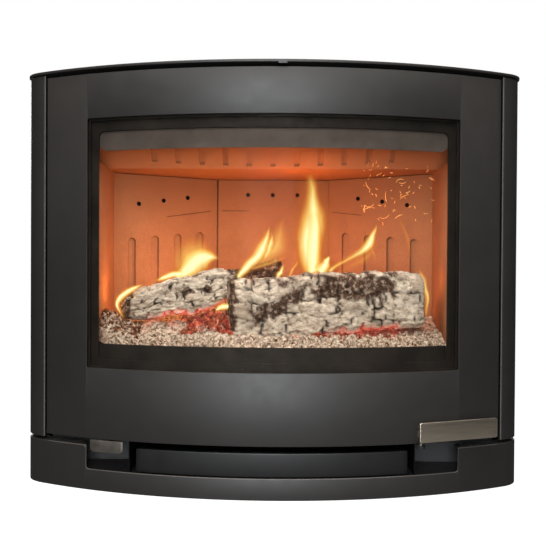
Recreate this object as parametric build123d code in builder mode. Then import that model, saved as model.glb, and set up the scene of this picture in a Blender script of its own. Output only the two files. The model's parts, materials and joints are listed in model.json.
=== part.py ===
from build123d import *
from math import asin, atan2, cos, degrees, hypot, radians, sin, sqrt
import os

os.makedirs("parts", exist_ok=True)

# Driving dimensions in mm. Heights run up from the underside of the base skirt,
# depths run back from the middle of the curved front.
body_width = 590
body_height = 487
body_depth = 385
bracket_height = 300
front_radius = 497
corner_radius = 45
wall_gap = 33
casing_sheet = 2
top_sheet = 3
top_overhang = 2
skirt_sheet = 3
skirt_height = 52
floor_bottom = 19
floor_sheet = 3

panel_gap = 4
panel_top_gap = 1.7
panel_strip = 26
recess_side = 81

door_gap = 2.5
door_sheet = 4
door_corner = 2.7
door_lift = 8
door_top_gap = 8
window_side = 52.5
window_sill = 81
window_head = 51

face_inset = 17.5
face_thickness = 5
shell_plate = 4
flue_radius = 74.5
flue_sheet = 2.5
flue_rise = 25
inlet_radius = 39.5
inlet_sheet = 1.5

lining_board = 25
board_gap = 1
baffle_board = 28
baffle_front = 112
baffle_chamfer = 46

hinge_setback = 11.3
hinge_pin_radius = 3
running_gap = 0.05
fixed_gap = 0.02

handle_length = 94
handle_height = 22.5
handle_proud = 12.5
handle_sheet = 3
handle_pin_radius = 2.4
handle_pin_proud = 5

lever_width = 41
lever_height = 14
drawer_gap = 0.5

bolt_spacing = 240
bolt_rise = 100
bolt_radius = 5.5

# Places that follow from them.
half_width = body_width / 2
arc_centre = front_radius - body_depth
casing_back = body_depth - wall_gap
floor_top = floor_bottom + floor_sheet
side_panel_bottom = skirt_height + panel_gap
side_panel_top = body_height - top_sheet - panel_top_gap
side_panel_edge = half_width - panel_strip
recess_half = half_width - recess_side
recess_bottom = floor_top + 2.5

door_half = side_panel_edge - door_gap
door_bottom = skirt_height + door_lift
door_top = body_height - door_top_gap
window_half = door_half - window_side
window_bottom = door_bottom + window_sill
window_top = door_top - window_head

face_half = door_half - 23
face_bottom = door_bottom + 7
face_top = door_top - 7
mouth_half = window_half - 11
mouth_bottom = window_bottom + 9
mouth_top = window_top - 13

shell_half = face_half - 7.5
shell_back = casing_back - 43
shell_bottom = window_bottom - 33
shell_top = window_top + 22
flue_depth = shell_back - 84
flue_bore = flue_radius - flue_sheet
flue_top = body_height + flue_rise
flange_top = shell_top + 4
inlet_depth = shell_back - 47
inlet_bore = inlet_radius - inlet_sheet

lining_floor = shell_bottom + 30
lining_side = mouth_half + 4
lining_back_half = lining_side - 130
lining_back = shell_back - 29
lining_turn = lining_back - 80
baffle_rear_height = mouth_top - 37.5
baffle_slope = 0.03

drawer_half = recess_half - 58.5
drawer_bottom = floor_top + 3
drawer_top = skirt_height - drawer_gap
housing_wall = drawer_half + 6.5
hinge_across = 10 - door_half
handle_across = housing_wall + 6
handle_end = handle_across + handle_length
handle_bottom = door_bottom + 2.5
handle_top = handle_bottom + handle_height
lever_left = 4 - recess_half
lever_right = lever_left + lever_width
lever_top = door_bottom - 1.5


def up(height):
    """Height above the underside, as Z from the middle of the wall bolts."""
    return height - bracket_height


def back(depth):
    """Depth behind the middle of the curved front, as Y from the wall."""
    return depth - body_depth


def arc_depth(inset, across):
    """Depth of the curved front, set in by inset, at a sideways position."""
    return front_radius - sqrt((front_radius - inset) ** 2 - across**2)


def front_arc(inset, left, right):
    """Arc that follows the curved front between two sideways positions."""
    radius = front_radius - inset
    start = degrees(asin(left / radius))
    end = degrees(asin(right / radius))
    return CenterArc((0, arc_centre), radius, start - 90, end - start)


def curved_band(inset, thickness, left, right):
    """Plan of a sheet that follows the curved front."""
    with BuildSketch() as plan:
        with BuildLine():
            outer = front_arc(inset, left, right)
            inner = front_arc(inset + thickness, left, right)
            Line(outer @ 0, inner @ 0)
            Line(outer @ 1, inner @ 1)
        make_face()
    return plan.sketch


def box_outline(inset, half, rear):
    """Plan of a box with a curved front and square sides."""
    with BuildSketch() as plan:
        with BuildLine():
            front = front_arc(inset, -half, half)
            Polyline(front @ 0, (-half, back(rear)), (half, back(rear)), front @ 1)
        make_face()
    return plan.sketch


def body_outline(inset, rear):
    """Plan of the whole body, set in by inset, with its rounded front corners."""
    corner_x = half_width - corner_radius
    corner_y = arc_centre - sqrt((front_radius - corner_radius) ** 2 - corner_x**2)
    turn = degrees(asin(corner_x / (front_radius - corner_radius)))
    radius = corner_radius - inset
    side = half_width - inset
    with BuildSketch() as plan:
        with BuildLine():
            CenterArc((0, arc_centre), front_radius - inset, -90 - turn, 2 * turn)
            right = CenterArc((corner_x, corner_y), radius, turn - 90, 90 - turn)
            left = CenterArc((-corner_x, corner_y), radius, 180, 90 - turn)
            Polyline(right @ 1, (side, back(rear)), (-side, back(rear)), left @ 0)
        make_face()
    return plan.sketch


def body_strip(outer, inner, edge, rear):
    """Plan of a right-hand strip of the body outline, outside a sideways edge."""
    with BuildSketch() as plan:
        add(body_outline(outer, rear))
        add(body_outline(inner, rear + 20), mode=Mode.SUBTRACT)
        add(block(-half_width, edge, -50, body_depth), mode=Mode.SUBTRACT)
    return plan.sketch


def block(left, right, front, rear):
    """Plan rectangle between two sideways positions and two depths."""
    with BuildSketch() as plan:
        with Locations(((left + right) / 2, back((front + rear) / 2))):
            Rectangle(right - left, rear - front)
    return plan.sketch


def disc(radius, across, depth):
    """Plan circle at a sideways position and a depth."""
    with BuildSketch() as plan:
        with Locations((across, back(depth))):
            Circle(radius)
    return plan.sketch


def outline(*corners):
    """Plan polygon through corners given as sideways position and depth."""
    with BuildSketch() as plan:
        with BuildLine():
            Polyline(*[(across, back(depth)) for across, depth in corners], close=True)
        make_face()
    return plan.sketch


def raised(plan, low, high, mode=Mode.ADD):
    """Plan shape raised between two heights above the underside."""
    extrude(Plane.XY.offset(up(low)) * plan, amount=high - low, mode=mode)


def seen(left, right, low, high, radius=0):
    """Rectangle as seen from the front, with rounded corners where radius is set."""
    with BuildSketch() as face:
        with Locations(((left + right) / 2, up((low + high) / 2))):
            Rectangle(right - left, high - low)
        if radius:
            fillet(face.vertices(), radius=radius)
    return face.sketch


def through(face, mode=Mode.SUBTRACT):
    """Front-view shape cut right through the part, or kept alone with INTERSECT."""
    extrude(Plane.XZ * face, amount=body_depth + 20, mode=mode)


def drilled(radius, across, height, depth, length):
    """Hole that runs back from a depth behind the curved front's middle."""
    with BuildSketch() as face:
        with Locations((across, up(height))):
            Circle(radius)
    extrude(Plane.XZ.offset(-back(depth)) * face.sketch, amount=-length, mode=Mode.SUBTRACT)


def across_profile(points, left, right, mode=Mode.ADD):
    """Side-view polygon of depth and height corners, run between two sideways positions."""
    with BuildSketch() as side:
        with BuildLine():
            Polyline(*[(back(depth), up(height)) for depth, height in points], close=True)
        make_face()
    extrude(Plane.YZ.offset(left) * side.sketch, amount=right - left, mode=mode)


def radial_plane(inset, across, height):
    """Plane on the curved front at an inset, facing into the stove."""
    radius = front_radius - inset
    lean = asin(across / front_radius)
    origin = (radius * sin(lean), arc_centre - radius * cos(lean), up(height))
    return Plane(origin=origin, x_dir=(cos(lean), sin(lean), 0), z_dir=(-sin(lean), cos(lean), 0))


def baffle_height(depth):
    """Height of the sloping underside of the baffle at a depth."""
    return baffle_rear_height + (lining_back - depth) * baffle_slope


def cut_under_baffle(gap=0):
    """Take off everything above the underside of the baffle, less a gap."""
    rear = shell_back + 20
    top = body_height + 20
    points = [
        (40, baffle_height(40) - gap),
        (rear, baffle_height(rear) - gap),
        (rear, top),
        (40, top),
    ]
    across_profile(points, -half_width, half_width, mode=Mode.SUBTRACT)


# Wall bracket and the plates that hang the stove on it.
bracket_half = bolt_spacing / 2 + 30
bracket_sheet = 4
bracket_front = body_depth - bracket_sheet
bracket_low = bracket_height - 60
bracket_high = bracket_height + 130
lip_front = bracket_front - 10
lip_rear = lip_front + bracket_sheet
lip_top = bracket_high + 15

with BuildPart() as wall_bracket:
    raised(block(-bracket_half, bracket_half, bracket_front, body_depth), bracket_low, bracket_high)
    raised(block(-bracket_half, bracket_half, lip_front, bracket_front), bracket_high - bracket_sheet, bracket_high)
    raised(block(-bracket_half, bracket_half, lip_front, lip_rear), bracket_high, lip_top)
    raised(block(-bracket_half, bracket_half, lip_front, bracket_front), bracket_low, bracket_low + bracket_sheet)
    for across in (-bolt_spacing / 2, bolt_spacing / 2):
        for height in (bracket_height - bolt_rise / 2, bracket_height + bolt_rise / 2):
            drilled(bolt_radius, across, height, bracket_front - 2, 8)
wall_bracket.part.label = "Wall bracket"

hang_across = 90
hang_plate = 5
hang_gap = 0.4
hang_rear = casing_back - casing_sheet
foot_low = bracket_low + 5
foot_high = bracket_low + 25
hook_low = bracket_high - 18
hang_points = [
    (shell_back, bracket_low - 50),
    (hang_rear, bracket_low - 50),
    (hang_rear, foot_low),
    (bracket_front, foot_low),
    (bracket_front, foot_high),
    (hang_rear, foot_high),
    (hang_rear, hook_low),
    (lip_front - hang_gap, hook_low),
    (lip_front - hang_gap, lip_top),
    (lip_rear + hang_gap, lip_top),
    (lip_rear + hang_gap, bracket_high + 2),
    (lip_rear + 4, bracket_high + 2),
    (lip_rear + 4, lip_top + 5),
    (shell_back, lip_top + 5),
]

with BuildPart() as left_hanging_plate:
    across_profile(hang_points, -hang_across - hang_plate / 2, -hang_across + hang_plate / 2)
left_hanging_plate.part.label = "Left hanging plate"

with BuildPart() as right_hanging_plate:
    across_profile(hang_points, hang_across - hang_plate / 2, hang_across + hang_plate / 2)
right_hanging_plate.part.label = "Right hanging plate"

# Casing.
screw_across = half_width - 11
screw_heights = (floor_top + 68, (floor_top + side_panel_top) / 2, side_panel_top - 32)
screw_head = 4.2
slot_gap = 1

with BuildPart() as back_panel:
    raised(block(3.5 - half_width, half_width - 3.5, hang_rear, casing_back), floor_top, side_panel_top - 0.3)
    for across in (-hang_across, hang_across):
        near = across - hang_plate / 2 - slot_gap
        far = across + hang_plate / 2 + slot_gap
        through(seen(near, far, hook_low - slot_gap, lip_top + 5 + slot_gap))
        through(seen(near, far, foot_low - slot_gap, foot_high + slot_gap))
back_panel.part.label = "Back panel"

with BuildPart() as casing_screws:
    for across in (-screw_across, screw_across):
        for height in screw_heights:
            with BuildSketch(Plane.XZ.offset(-back(casing_back))):
                with Locations((across, up(height))):
                    RegularPolygon(screw_head, 6)
            extrude(amount=-2.5)
casing_screws.part.label = "Casing screws"

edge_depth = arc_depth(0, side_panel_edge)
fold_depth = arc_depth(0, side_panel_edge + casing_sheet) + 0.5

with BuildSketch() as side_panel_plan:
    add(body_strip(0, casing_sheet, side_panel_edge, casing_back))
    add(block(side_panel_edge, side_panel_edge + casing_sheet, fold_depth, edge_depth + 13))
    bend = side_panel_plan.vertices().sort_by_distance((side_panel_edge, back(edge_depth), 0))[0]
    fillet(bend, radius=1.3)

with BuildPart() as right_side_panel:
    raised(side_panel_plan.sketch, side_panel_bottom, side_panel_top)
    for low in (side_panel_bottom, side_panel_top - casing_sheet):
        raised(body_strip(casing_sheet / 2, 14, side_panel_edge + 1, casing_back - 3), low, low + casing_sheet)
    raised(
        block(half_width - 20, half_width - casing_sheet / 2, hang_rear - casing_sheet, hang_rear),
        side_panel_bottom + 1,
        side_panel_top - 1,
    )
right_side_panel.part.label = "Right side panel"

with BuildPart() as left_side_panel:
    mirror(right_side_panel.part, about=Plane.YZ)
left_side_panel.part.label = "Left side panel"

with BuildPart() as top_plate:
    raised(body_outline(-top_overhang, body_depth - 5), body_height - top_sheet, body_height)
    raised(disc(flue_radius + 5.5, 0, flue_depth), body_height - 10, body_height + 10, Mode.SUBTRACT)
top_plate.part.label = "Top plate"

catch_left = 5.2
catch_right = 14.7

with BuildPart() as top_catch_tab:
    raised(block(catch_left, catch_right, -3.2, -top_overhang), side_panel_top, body_height - 0.4)
    raised(block(catch_left, catch_right, -3.2, 18), side_panel_top + 0.5, body_height - top_sheet)
top_catch_tab.part.label = "Top catch tab"

with BuildPart() as panel_spacers:
    for across in (8.5 - half_width, half_width - 8.5):
        for depth in (150, casing_back - 32):
            foot = block(across - 4.5, across + 4.5, depth - 8, depth + 8)
            raised(foot, skirt_height, side_panel_bottom)
            raised(foot, side_panel_top, body_height - top_sheet)
panel_spacers.part.label = "Panel spacers"

with BuildPart() as base_skirt:
    raised(body_outline(0, casing_back), 0, skirt_height)
    raised(body_outline(skirt_sheet, body_depth), -1, skirt_height + 1, Mode.SUBTRACT)
    raised(body_outline(skirt_sheet, casing_back - 3), skirt_height - skirt_sheet, skirt_height)
    raised(body_outline(21, body_depth), -1, skirt_height + 1, Mode.SUBTRACT)
    through(seen(-recess_half, recess_half, recess_bottom, skirt_height + 30, radius=3))
base_skirt.part.label = "Base skirt"

with BuildPart() as base_plate:
    raised(body_outline(skirt_sheet, casing_back), floor_bottom, floor_top)
    raised(disc(inlet_bore, 0, inlet_depth), 0, 40, Mode.SUBTRACT)
base_plate.part.label = "Base plate"

# Hand recesses, drawer housing and supports in the base.
wall_sheet = 1.2
recess_sheet = 1.5
air_box_bottom = shell_bottom - 38
housing_top = air_box_bottom - 4
housing_back = 209
recess_wall_depth = 118
recess_wall_edge = side_panel_edge - 1
pan_back = housing_back - 4
lever_middle = (lever_left + lever_right) / 2
stem_half = 6
stem_low = 52
stem_high = 55

with BuildPart() as right_recess_wall:
    recess_wall_back = recess_wall_depth + recess_sheet
    outer_wall = housing_wall + wall_sheet
    raised(block(outer_wall, recess_wall_edge, recess_wall_depth, recess_wall_back), floor_top, door_bottom)
    raised(block(outer_wall, recess_wall_edge, recess_wall_back, 128), door_bottom - recess_sheet, door_bottom)
right_recess_wall.part.label = "Right recess wall"

with BuildPart() as left_recess_wall:
    mirror(right_recess_wall.part, about=Plane.YZ)
    through(seen(lever_middle - 10, lever_middle + 10, stem_low - 2, stem_high + 2))
left_recess_wall.part.label = "Left recess wall"

with BuildPart() as drawer_housing:
    raised(block(housing_wall, housing_wall + wall_sheet, 36, housing_back + recess_sheet), floor_top, housing_top)
    raised(block(-housing_wall - wall_sheet, -housing_wall, 36, housing_back + recess_sheet), floor_top, housing_top)
    raised(block(-housing_wall, housing_wall, housing_back, housing_back + recess_sheet), floor_top, housing_top)
drawer_housing.part.label = "Drawer housing"

with BuildPart() as drawer_runners:
    for across in (32 - housing_wall, housing_wall - 32):
        raised(block(across - 10, across + 10, 45, pan_back), floor_top, drawer_bottom - 0.2)
drawer_runners.part.label = "Drawer runners"

leg_across = shell_half - 20
leg_rear = shell_back - 9

with BuildPart() as right_support_leg:
    raised(block(leg_across, leg_across + casing_sheet, 130, leg_rear), floor_top, shell_bottom)
    raised(block(leg_across, leg_across + 18, 130, leg_rear), floor_top, floor_top + casing_sheet)
    raised(block(leg_across, leg_across + 18, 130, leg_rear), shell_bottom - casing_sheet, shell_bottom)
right_support_leg.part.label = "Right support leg"

with BuildPart() as left_support_leg:
    mirror(right_support_leg.part, about=Plane.YZ)
left_support_leg.part.label = "Left support leg"

# Air supply.
air_sheet = 1.5
riser_half = inlet_radius + 4.5
riser_rear = inlet_depth + 44
riser = (-riser_half, riser_half, inlet_depth - 46, riser_rear)
air_box_plan = (2 - recess_half, recess_half - 2, 110, riser_rear)
chute_half = 72
chute_front = 118
chute_rear = 190
chute = (-chute_half, chute_half, chute_front, chute_rear)
damper_left = lever_left + 4
damper_right = lever_right - 5
damper_slot = (damper_left + 4, damper_right - 4, 190, 230)

with BuildPart() as air_riser:
    raised(block(*riser), floor_top, air_box_bottom)
    raised(
        block(riser[0] + air_sheet, riser[1] - air_sheet, riser[2] + air_sheet, riser[3] - air_sheet),
        0,
        100,
        Mode.SUBTRACT,
    )
air_riser.part.label = "Air riser"

with BuildPart() as air_inlet_collar:
    raised(disc(inlet_radius, 0, inlet_depth), -10, floor_bottom)
    raised(disc(inlet_bore, 0, inlet_depth), -20, 40, Mode.SUBTRACT)
air_inlet_collar.part.label = "Air inlet collar"

with BuildPart() as air_box:
    raised(block(*air_box_plan), air_box_bottom, shell_bottom)
    raised(
        block(
            air_box_plan[0] + air_sheet,
            air_box_plan[1] - air_sheet,
            air_box_plan[2] + air_sheet,
            air_box_plan[3] - air_sheet,
        ),
        air_box_bottom + air_sheet,
        shell_bottom + 5,
        Mode.SUBTRACT,
    )
    raised(block(chute[0] - 0.2, chute[1] + 0.2, chute[2] - 0.2, chute[3] + 0.2), 60, 80, Mode.SUBTRACT)
    raised(
        block(riser[0] + air_sheet, riser[1] - air_sheet, riser[2] + air_sheet, riser[3] - air_sheet),
        60,
        80,
        Mode.SUBTRACT,
    )
    raised(block(*damper_slot), 60, 80, Mode.SUBTRACT)
air_box.part.label = "Air box"

with BuildPart() as ash_chute:
    raised(block(*chute), skirt_height + 2, shell_bottom)
    raised(
        block(chute[0] + air_sheet, chute[1] - air_sheet, chute[2] + air_sheet, chute[3] - air_sheet),
        50,
        shell_bottom + 5,
        Mode.SUBTRACT,
    )
ash_chute.part.label = "Ash chute"

damper_bottom = air_box_bottom - 2.3
guide_bottom = air_box_bottom - 4.5

with BuildPart() as damper_guides:
    raised(block(damper_left - 6, damper_left - 0.4, 120, 290), guide_bottom, air_box_bottom)
    raised(block(damper_left - 6, damper_left + 3, 120, 290), guide_bottom, damper_bottom - 0.3)
    raised(block(damper_right + 0.4, damper_right + 6, 120, 290), guide_bottom, air_box_bottom)
    raised(block(damper_right - 3, damper_right + 6, 120, 290), guide_bottom, damper_bottom - 0.3)
damper_guides.part.label = "Damper guides"

# Firebox.
flue_flange_half = flue_radius + 7
hinge_depth = arc_depth(0, hinge_across) + hinge_setback

with BuildPart() as firebox_shell:
    raised(box_outline(face_inset + face_thickness, shell_half, shell_back), shell_bottom, shell_top)
    raised(
        box_outline(10, shell_half - shell_plate, shell_back - shell_plate),
        shell_bottom + shell_plate,
        shell_top - shell_plate,
        Mode.SUBTRACT,
    )
    raised(disc(flue_bore, 0, flue_depth), shell_top - 10, shell_top + 10, Mode.SUBTRACT)
    raised(
        block(chute[0] + air_sheet, chute[1] - air_sheet, chute[2] + air_sheet, chute[3] - air_sheet),
        shell_bottom - 5,
        shell_bottom + 10,
        Mode.SUBTRACT,
    )
firebox_shell.part.label = "Firebox shell"

with BuildPart() as firebox_front:
    raised(curved_band(face_inset, face_thickness, -face_half, face_half), face_bottom, face_top)
    through(seen(-mouth_half, mouth_half, mouth_bottom, mouth_top, radius=6))
firebox_front.part.label = "Firebox front"

with BuildPart() as hinge_brackets:
    for low in (face_bottom - 4.5, face_top):
        raised(disc(5.2, hinge_across, hinge_depth), low, low + 4.5)
        raised(curved_band(5.4, 8.1, hinge_across, 3.5 - face_half), low, low + 4.5)
        raised(curved_band(5.4, 21.6, -face_half - 2.5, 28.5 - face_half), low, low + 4.5)
    raised(disc(hinge_pin_radius + fixed_gap, hinge_across, hinge_depth), 0, body_height, Mode.SUBTRACT)
hinge_brackets.part.label = "Hinge brackets"

with BuildPart() as hinge_pins:
    raised(disc(hinge_pin_radius, hinge_across, hinge_depth), face_bottom - 4.5, face_bottom + 6.5)
    raised(disc(4.4, hinge_across, hinge_depth), face_bottom - 6.1, face_bottom - 4.5)
    raised(disc(hinge_pin_radius, hinge_across, hinge_depth), face_top - 6.5, face_top + 4.5)
    raised(disc(4.4, hinge_across, hinge_depth), face_top + 4.5, face_top + 6)
hinge_pins.part.label = "Hinge pins"

keeper_sheet = 1.4
tongue_end = 52

with BuildPart() as latch_keeper:
    raised(
        block(
            housing_wall + wall_sheet,
            housing_wall + wall_sheet + keeper_sheet,
            tongue_end - 8,
            tongue_end + 6,
        ),
        skirt_height - 6,
        door_bottom + 2,
    )
latch_keeper.part.label = "Latch keeper"

lining_gap = 0.5
lining_outer = shell_half - shell_plate - lining_gap
lining_rear = shell_back - shell_plate - lining_gap
grate_half = chute_half + 11
grate_front = chute_front - 13
grate_rear = chute_rear + 11

with BuildPart() as floor_lining:
    raised(
        box_outline(33, lining_outer, lining_rear),
        shell_bottom + shell_plate,
        lining_floor,
    )
    raised(
        block(
            -grate_half - lining_gap,
            grate_half + lining_gap,
            grate_front - lining_gap,
            grate_rear + lining_gap,
        ),
        shell_bottom,
        lining_floor + 10,
        Mode.SUBTRACT,
    )
floor_lining.part.label = "Floor lining"

lining_top = mouth_top + 5
panel_run = hypot(lining_side - lining_back_half, lining_back - lining_turn)
step_x = (lining_back - lining_turn) / panel_run * lining_board
step_y = (lining_side - lining_back_half) / panel_run * lining_board

with BuildPart() as right_side_lining:
    raised(
        outline(
            (lining_side, 90),
            (lining_outer, 90),
            (lining_outer, lining_turn - board_gap + step_y),
            (lining_side + step_x, lining_turn - board_gap + step_y),
            (lining_side, lining_turn - board_gap),
        ),
        lining_floor,
        lining_top,
    )
    cut_under_baffle()
right_side_lining.part.label = "Right side lining"

with BuildPart() as left_side_lining:
    mirror(right_side_lining.part, about=Plane.YZ)
left_side_lining.part.label = "Left side lining"

panel_plane = Plane(
    origin=(lining_side, back(lining_turn), 0),
    x_dir=(lining_side - lining_back_half, lining_turn - lining_back, 0),
    z_dir=(lining_turn - lining_back, lining_back_half - lining_side, 0),
)
groove_width = 11
groove_pitch = 33.5
first_groove = 26
first_groove_top = lining_floor + 157
groove_rise = 3.1
air_hole_radius = 3

with BuildPart() as right_angled_lining:
    raised(
        outline(
            (lining_side, lining_turn),
            (lining_back_half, lining_back),
            (lining_back_half + step_x, lining_back + step_y),
            (lining_side + step_x, lining_turn + step_y),
        ),
        lining_floor,
        lining_top,
    )
    cut_under_baffle(board_gap)
    with BuildSketch(panel_plane):
        for number in range(4):
            across = -first_groove - number * groove_pitch
            groove_end = first_groove_top + number * groove_rise - groove_width / 2
            with Locations((across, up((groove_end + lining_floor + 14) / 2))):
                Rectangle(groove_width, groove_end - lining_floor - 14)
            with Locations((across, up(groove_end))):
                RegularPolygon(groove_width / 2, 8, major_radius=False, rotation=22.5)
    extrude(amount=-5, mode=Mode.SUBTRACT)
    with BuildSketch(panel_plane):
        for along, height in ((35.5, mouth_top - 75), (71.5, mouth_top - 69.5), (107.5, mouth_top - 64.5)):
            with Locations((-along, up(height))):
                RegularPolygon(air_hole_radius, 8)
    extrude(amount=-40, mode=Mode.SUBTRACT)
right_angled_lining.part.label = "Right angled lining"

with BuildPart() as left_angled_lining:
    mirror(right_angled_lining.part, about=Plane.YZ)
left_angled_lining.part.label = "Left angled lining"

back_left = lining_back_half - 2.5 * board_gap
back_right = lining_back_half - 0.5 * board_gap

with BuildPart() as back_lining:
    raised(
        outline(
            (-back_left, lining_back),
            (back_right, lining_back),
            (back_right + step_x, lining_back + step_y),
            (-back_left - step_x, lining_back + step_y),
        ),
        lining_floor,
        lining_top,
    )
    cut_under_baffle(board_gap)
    with BuildSketch(Plane.XZ.offset(-back(lining_back - 20))):
        for across in (-34, 0, 34):
            with Locations((across, up(mouth_top - 58.6))):
                RegularPolygon(air_hole_radius, 8)
    extrude(amount=-60, mode=Mode.SUBTRACT)
back_lining.part.label = "Back lining"

baffle_grooves = 11
groove_spacing = 29.5
baffle_groove_width = 6.5
baffle_groove_depth = 3
baffle_rear = lining_rear - 1.5
chamfer_low = baffle_height(baffle_front + baffle_chamfer)
chamfer_high = baffle_height(baffle_front) + baffle_board
chamfer_lean = degrees(atan2(chamfer_high - chamfer_low, baffle_chamfer))

with BuildPart() as baffle:
    across_profile(
        [
            (baffle_front, chamfer_high),
            (baffle_front + baffle_chamfer, chamfer_low),
            (baffle_rear, baffle_height(baffle_rear)),
            (baffle_rear, baffle_height(baffle_rear) + baffle_board),
        ],
        4.5 - lining_outer,
        lining_outer - 4.5,
    )
    chamfer_plane = Plane(
        origin=(0, back(baffle_front), up(chamfer_high)),
        x_dir=(1, 0, 0),
        z_dir=(0, -sin(radians(chamfer_lean)), -cos(radians(chamfer_lean))),
    )
    with BuildSketch(chamfer_plane):
        for number in range(baffle_grooves):
            across = (number - (baffle_grooves - 1) / 2) * groove_spacing
            length = 50 - 8 * (across / 147) ** 2
            with Locations((across, -length / 2)):
                Rectangle(baffle_groove_width, length)
    extrude(amount=-baffle_groove_depth, mode=Mode.SUBTRACT)
baffle.part.label = "Baffle"

deflector_half = 110
deflector_low = chamfer_high + 12

with BuildPart() as smoke_deflector:
    raised(block(-deflector_half, deflector_half, 140, leg_rear), deflector_low, deflector_low + 3)
    for across in (-deflector_half, deflector_half - 3):
        raised(block(across, across + 3, 140, leg_rear), deflector_low + 3, shell_top - shell_plate)
smoke_deflector.part.label = "Smoke deflector"

wash_half = mouth_half + 2
wash_low = mouth_top - 22
wash_high = mouth_top + 25
retainer_top = mouth_bottom + 17

with BuildPart() as air_wash_plate:
    raised(curved_band(24, 2, -wash_half, wash_half), wash_low, wash_high)
    raised(curved_band(face_inset + face_thickness, 3.5, -wash_half, wash_half), wash_high - 1.5, wash_high)
    through(seen(-wash_half, wash_half, wash_low, wash_high + 40, radius=12), Mode.INTERSECT)
air_wash_plate.part.label = "Air wash plate"

with BuildPart() as log_retainer:
    raised(curved_band(24, 3, -mouth_half, mouth_half), shell_bottom + shell_plate, retainer_top)
    raised(curved_band(24, 8, -mouth_half, mouth_half), retainer_top - 3, retainer_top)
log_retainer.part.label = "Log retainer"

with BuildPart() as grate:
    raised(
        block(-grate_half, grate_half, grate_front, grate_rear),
        shell_bottom + shell_plate,
        lining_floor - 4,
    )
    for number in range(9):
        across = (number - 4) * 16
        slot = block(across - 4, across + 4, chute_front + 4, chute_rear - 4)
        raised(slot, shell_bottom, lining_floor + 10, Mode.SUBTRACT)
grate.part.label = "Grate"

with BuildPart() as flue_collar:
    raised(disc(flue_radius, 0, flue_depth), flange_top, flue_top)
    raised(disc(flue_bore, 0, flue_depth), shell_top - 5, flue_top + 5, Mode.SUBTRACT)
flue_collar.part.label = "Flue collar"

with BuildPart() as flue_flange:
    raised(
        block(
            -flue_flange_half,
            flue_flange_half,
            flue_depth - flue_flange_half,
            flue_depth + flue_flange_half,
        ),
        shell_top,
        flange_top,
    )
    raised(disc(flue_bore, 0, flue_depth), shell_top - 5, flue_top, Mode.SUBTRACT)
flue_flange.part.label = "Flue flange"

with BuildPart() as flue_flange_screws:
    with BuildSketch(Plane.XY.offset(up(flange_top))):
        with Locations((0, back(flue_depth))):
            with PolarLocations(flue_flange_half * 1.22, 4, start_angle=45):
                RegularPolygon(5, 6)
    extrude(amount=3.5)
flue_flange_screws.part.label = "Flue flange screws"

# Door.
glass_lap = 8
glass_half = window_half + glass_lap
glass_bottom = window_bottom - glass_lap
glass_top = window_top + glass_lap
gasket_thickness = 2
gasket_width = 6
glass_inset = door_sheet + gasket_thickness
glass_thickness = 4
frame_sheet = 1.5
screw_pitch = 110
screw_rows = (glass_bottom - 8.5, glass_top + 8.5)
frame_screws = [((n - 1.5) * screw_pitch, height) for n in range(4) for height in screw_rows]

with BuildPart() as door_plate:
    raised(curved_band(0, door_sheet, -door_half, door_half), door_bottom, door_top)
    through(seen(-door_half, door_half, door_bottom, door_top, radius=door_corner), Mode.INTERSECT)
    through(seen(-window_half, window_half, window_bottom, window_top, radius=2))
door_plate.part.label = "Door plate"

with BuildPart() as glass_gasket:
    raised(curved_band(door_sheet, gasket_thickness, -glass_half, glass_half), glass_bottom, glass_top)
    through(
        seen(
            gasket_width - glass_half,
            glass_half - gasket_width,
            glass_bottom + gasket_width,
            glass_top - gasket_width,
        )
    )
glass_gasket.part.label = "Glass gasket"

with BuildPart() as door_glass:
    raised(curved_band(glass_inset, glass_thickness, -glass_half, glass_half), glass_bottom, glass_top)
door_glass.part.label = "Door glass"

with BuildPart() as glass_frame:
    raised(curved_band(door_sheet, 7.5, -glass_half - 2, glass_half + 2), glass_bottom - 2, glass_top + 2)
    raised(curved_band(door_sheet, frame_sheet, -glass_half - 7, glass_half + 7), glass_bottom - 15, glass_top + 15)
    raised(
        curved_band(door_sheet - 1, 7, -glass_half - 0.5, glass_half + 0.5),
        glass_bottom - 0.5,
        glass_top + 0.5,
        Mode.SUBTRACT,
    )
    through(seen(-glass_half + 10, glass_half - 10, glass_bottom + 10, glass_top - 10))
glass_frame.part.label = "Glass frame"

with BuildPart() as glass_frame_screws:
    for across, height in frame_screws:
        with BuildSketch(radial_plane(door_sheet + frame_sheet + 0.02, across, height)):
            RegularPolygon(3.6, 6)
        extrude(amount=2.2)
glass_frame_screws.part.label = "Glass frame screws"

channel_half = face_half + 0.5
channel_bottom = face_bottom + 2
channel_top = face_top - 2
channel_width = 14
channel_deep = 10

with BuildPart() as rope_channel:
    raised(curved_band(door_sheet, channel_deep, -channel_half, channel_half), channel_bottom, channel_top)
    raised(
        curved_band(door_sheet + 2, channel_deep, 2 - channel_half, channel_half - 2),
        channel_bottom + 2,
        channel_top - 2,
        Mode.SUBTRACT,
    )
    raised(
        curved_band(
            door_sheet, channel_deep, channel_width - 2 - channel_half, channel_half - channel_width + 2
        ),
        channel_bottom + channel_width - 2,
        channel_top - channel_width + 2,
    )
    through(
        seen(
            channel_width - channel_half,
            channel_half - channel_width,
            channel_bottom + channel_width,
            channel_top - channel_width,
        )
    )
rope_channel.part.label = "Rope channel"

with BuildPart() as door_rope:
    raised(
        curved_band(door_sheet + 2.3, face_inset - 0.5 - door_sheet - 2.3, 2.4 - channel_half, channel_half - 2.4),
        channel_bottom + 2.4,
        channel_top - 2.4,
    )
    through(
        seen(
            channel_width - 2.4 - channel_half,
            channel_half - channel_width + 2.4,
            channel_bottom + channel_width - 2.4,
            channel_top - channel_width + 2.4,
        )
    )
door_rope.part.label = "Door rope"

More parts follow.
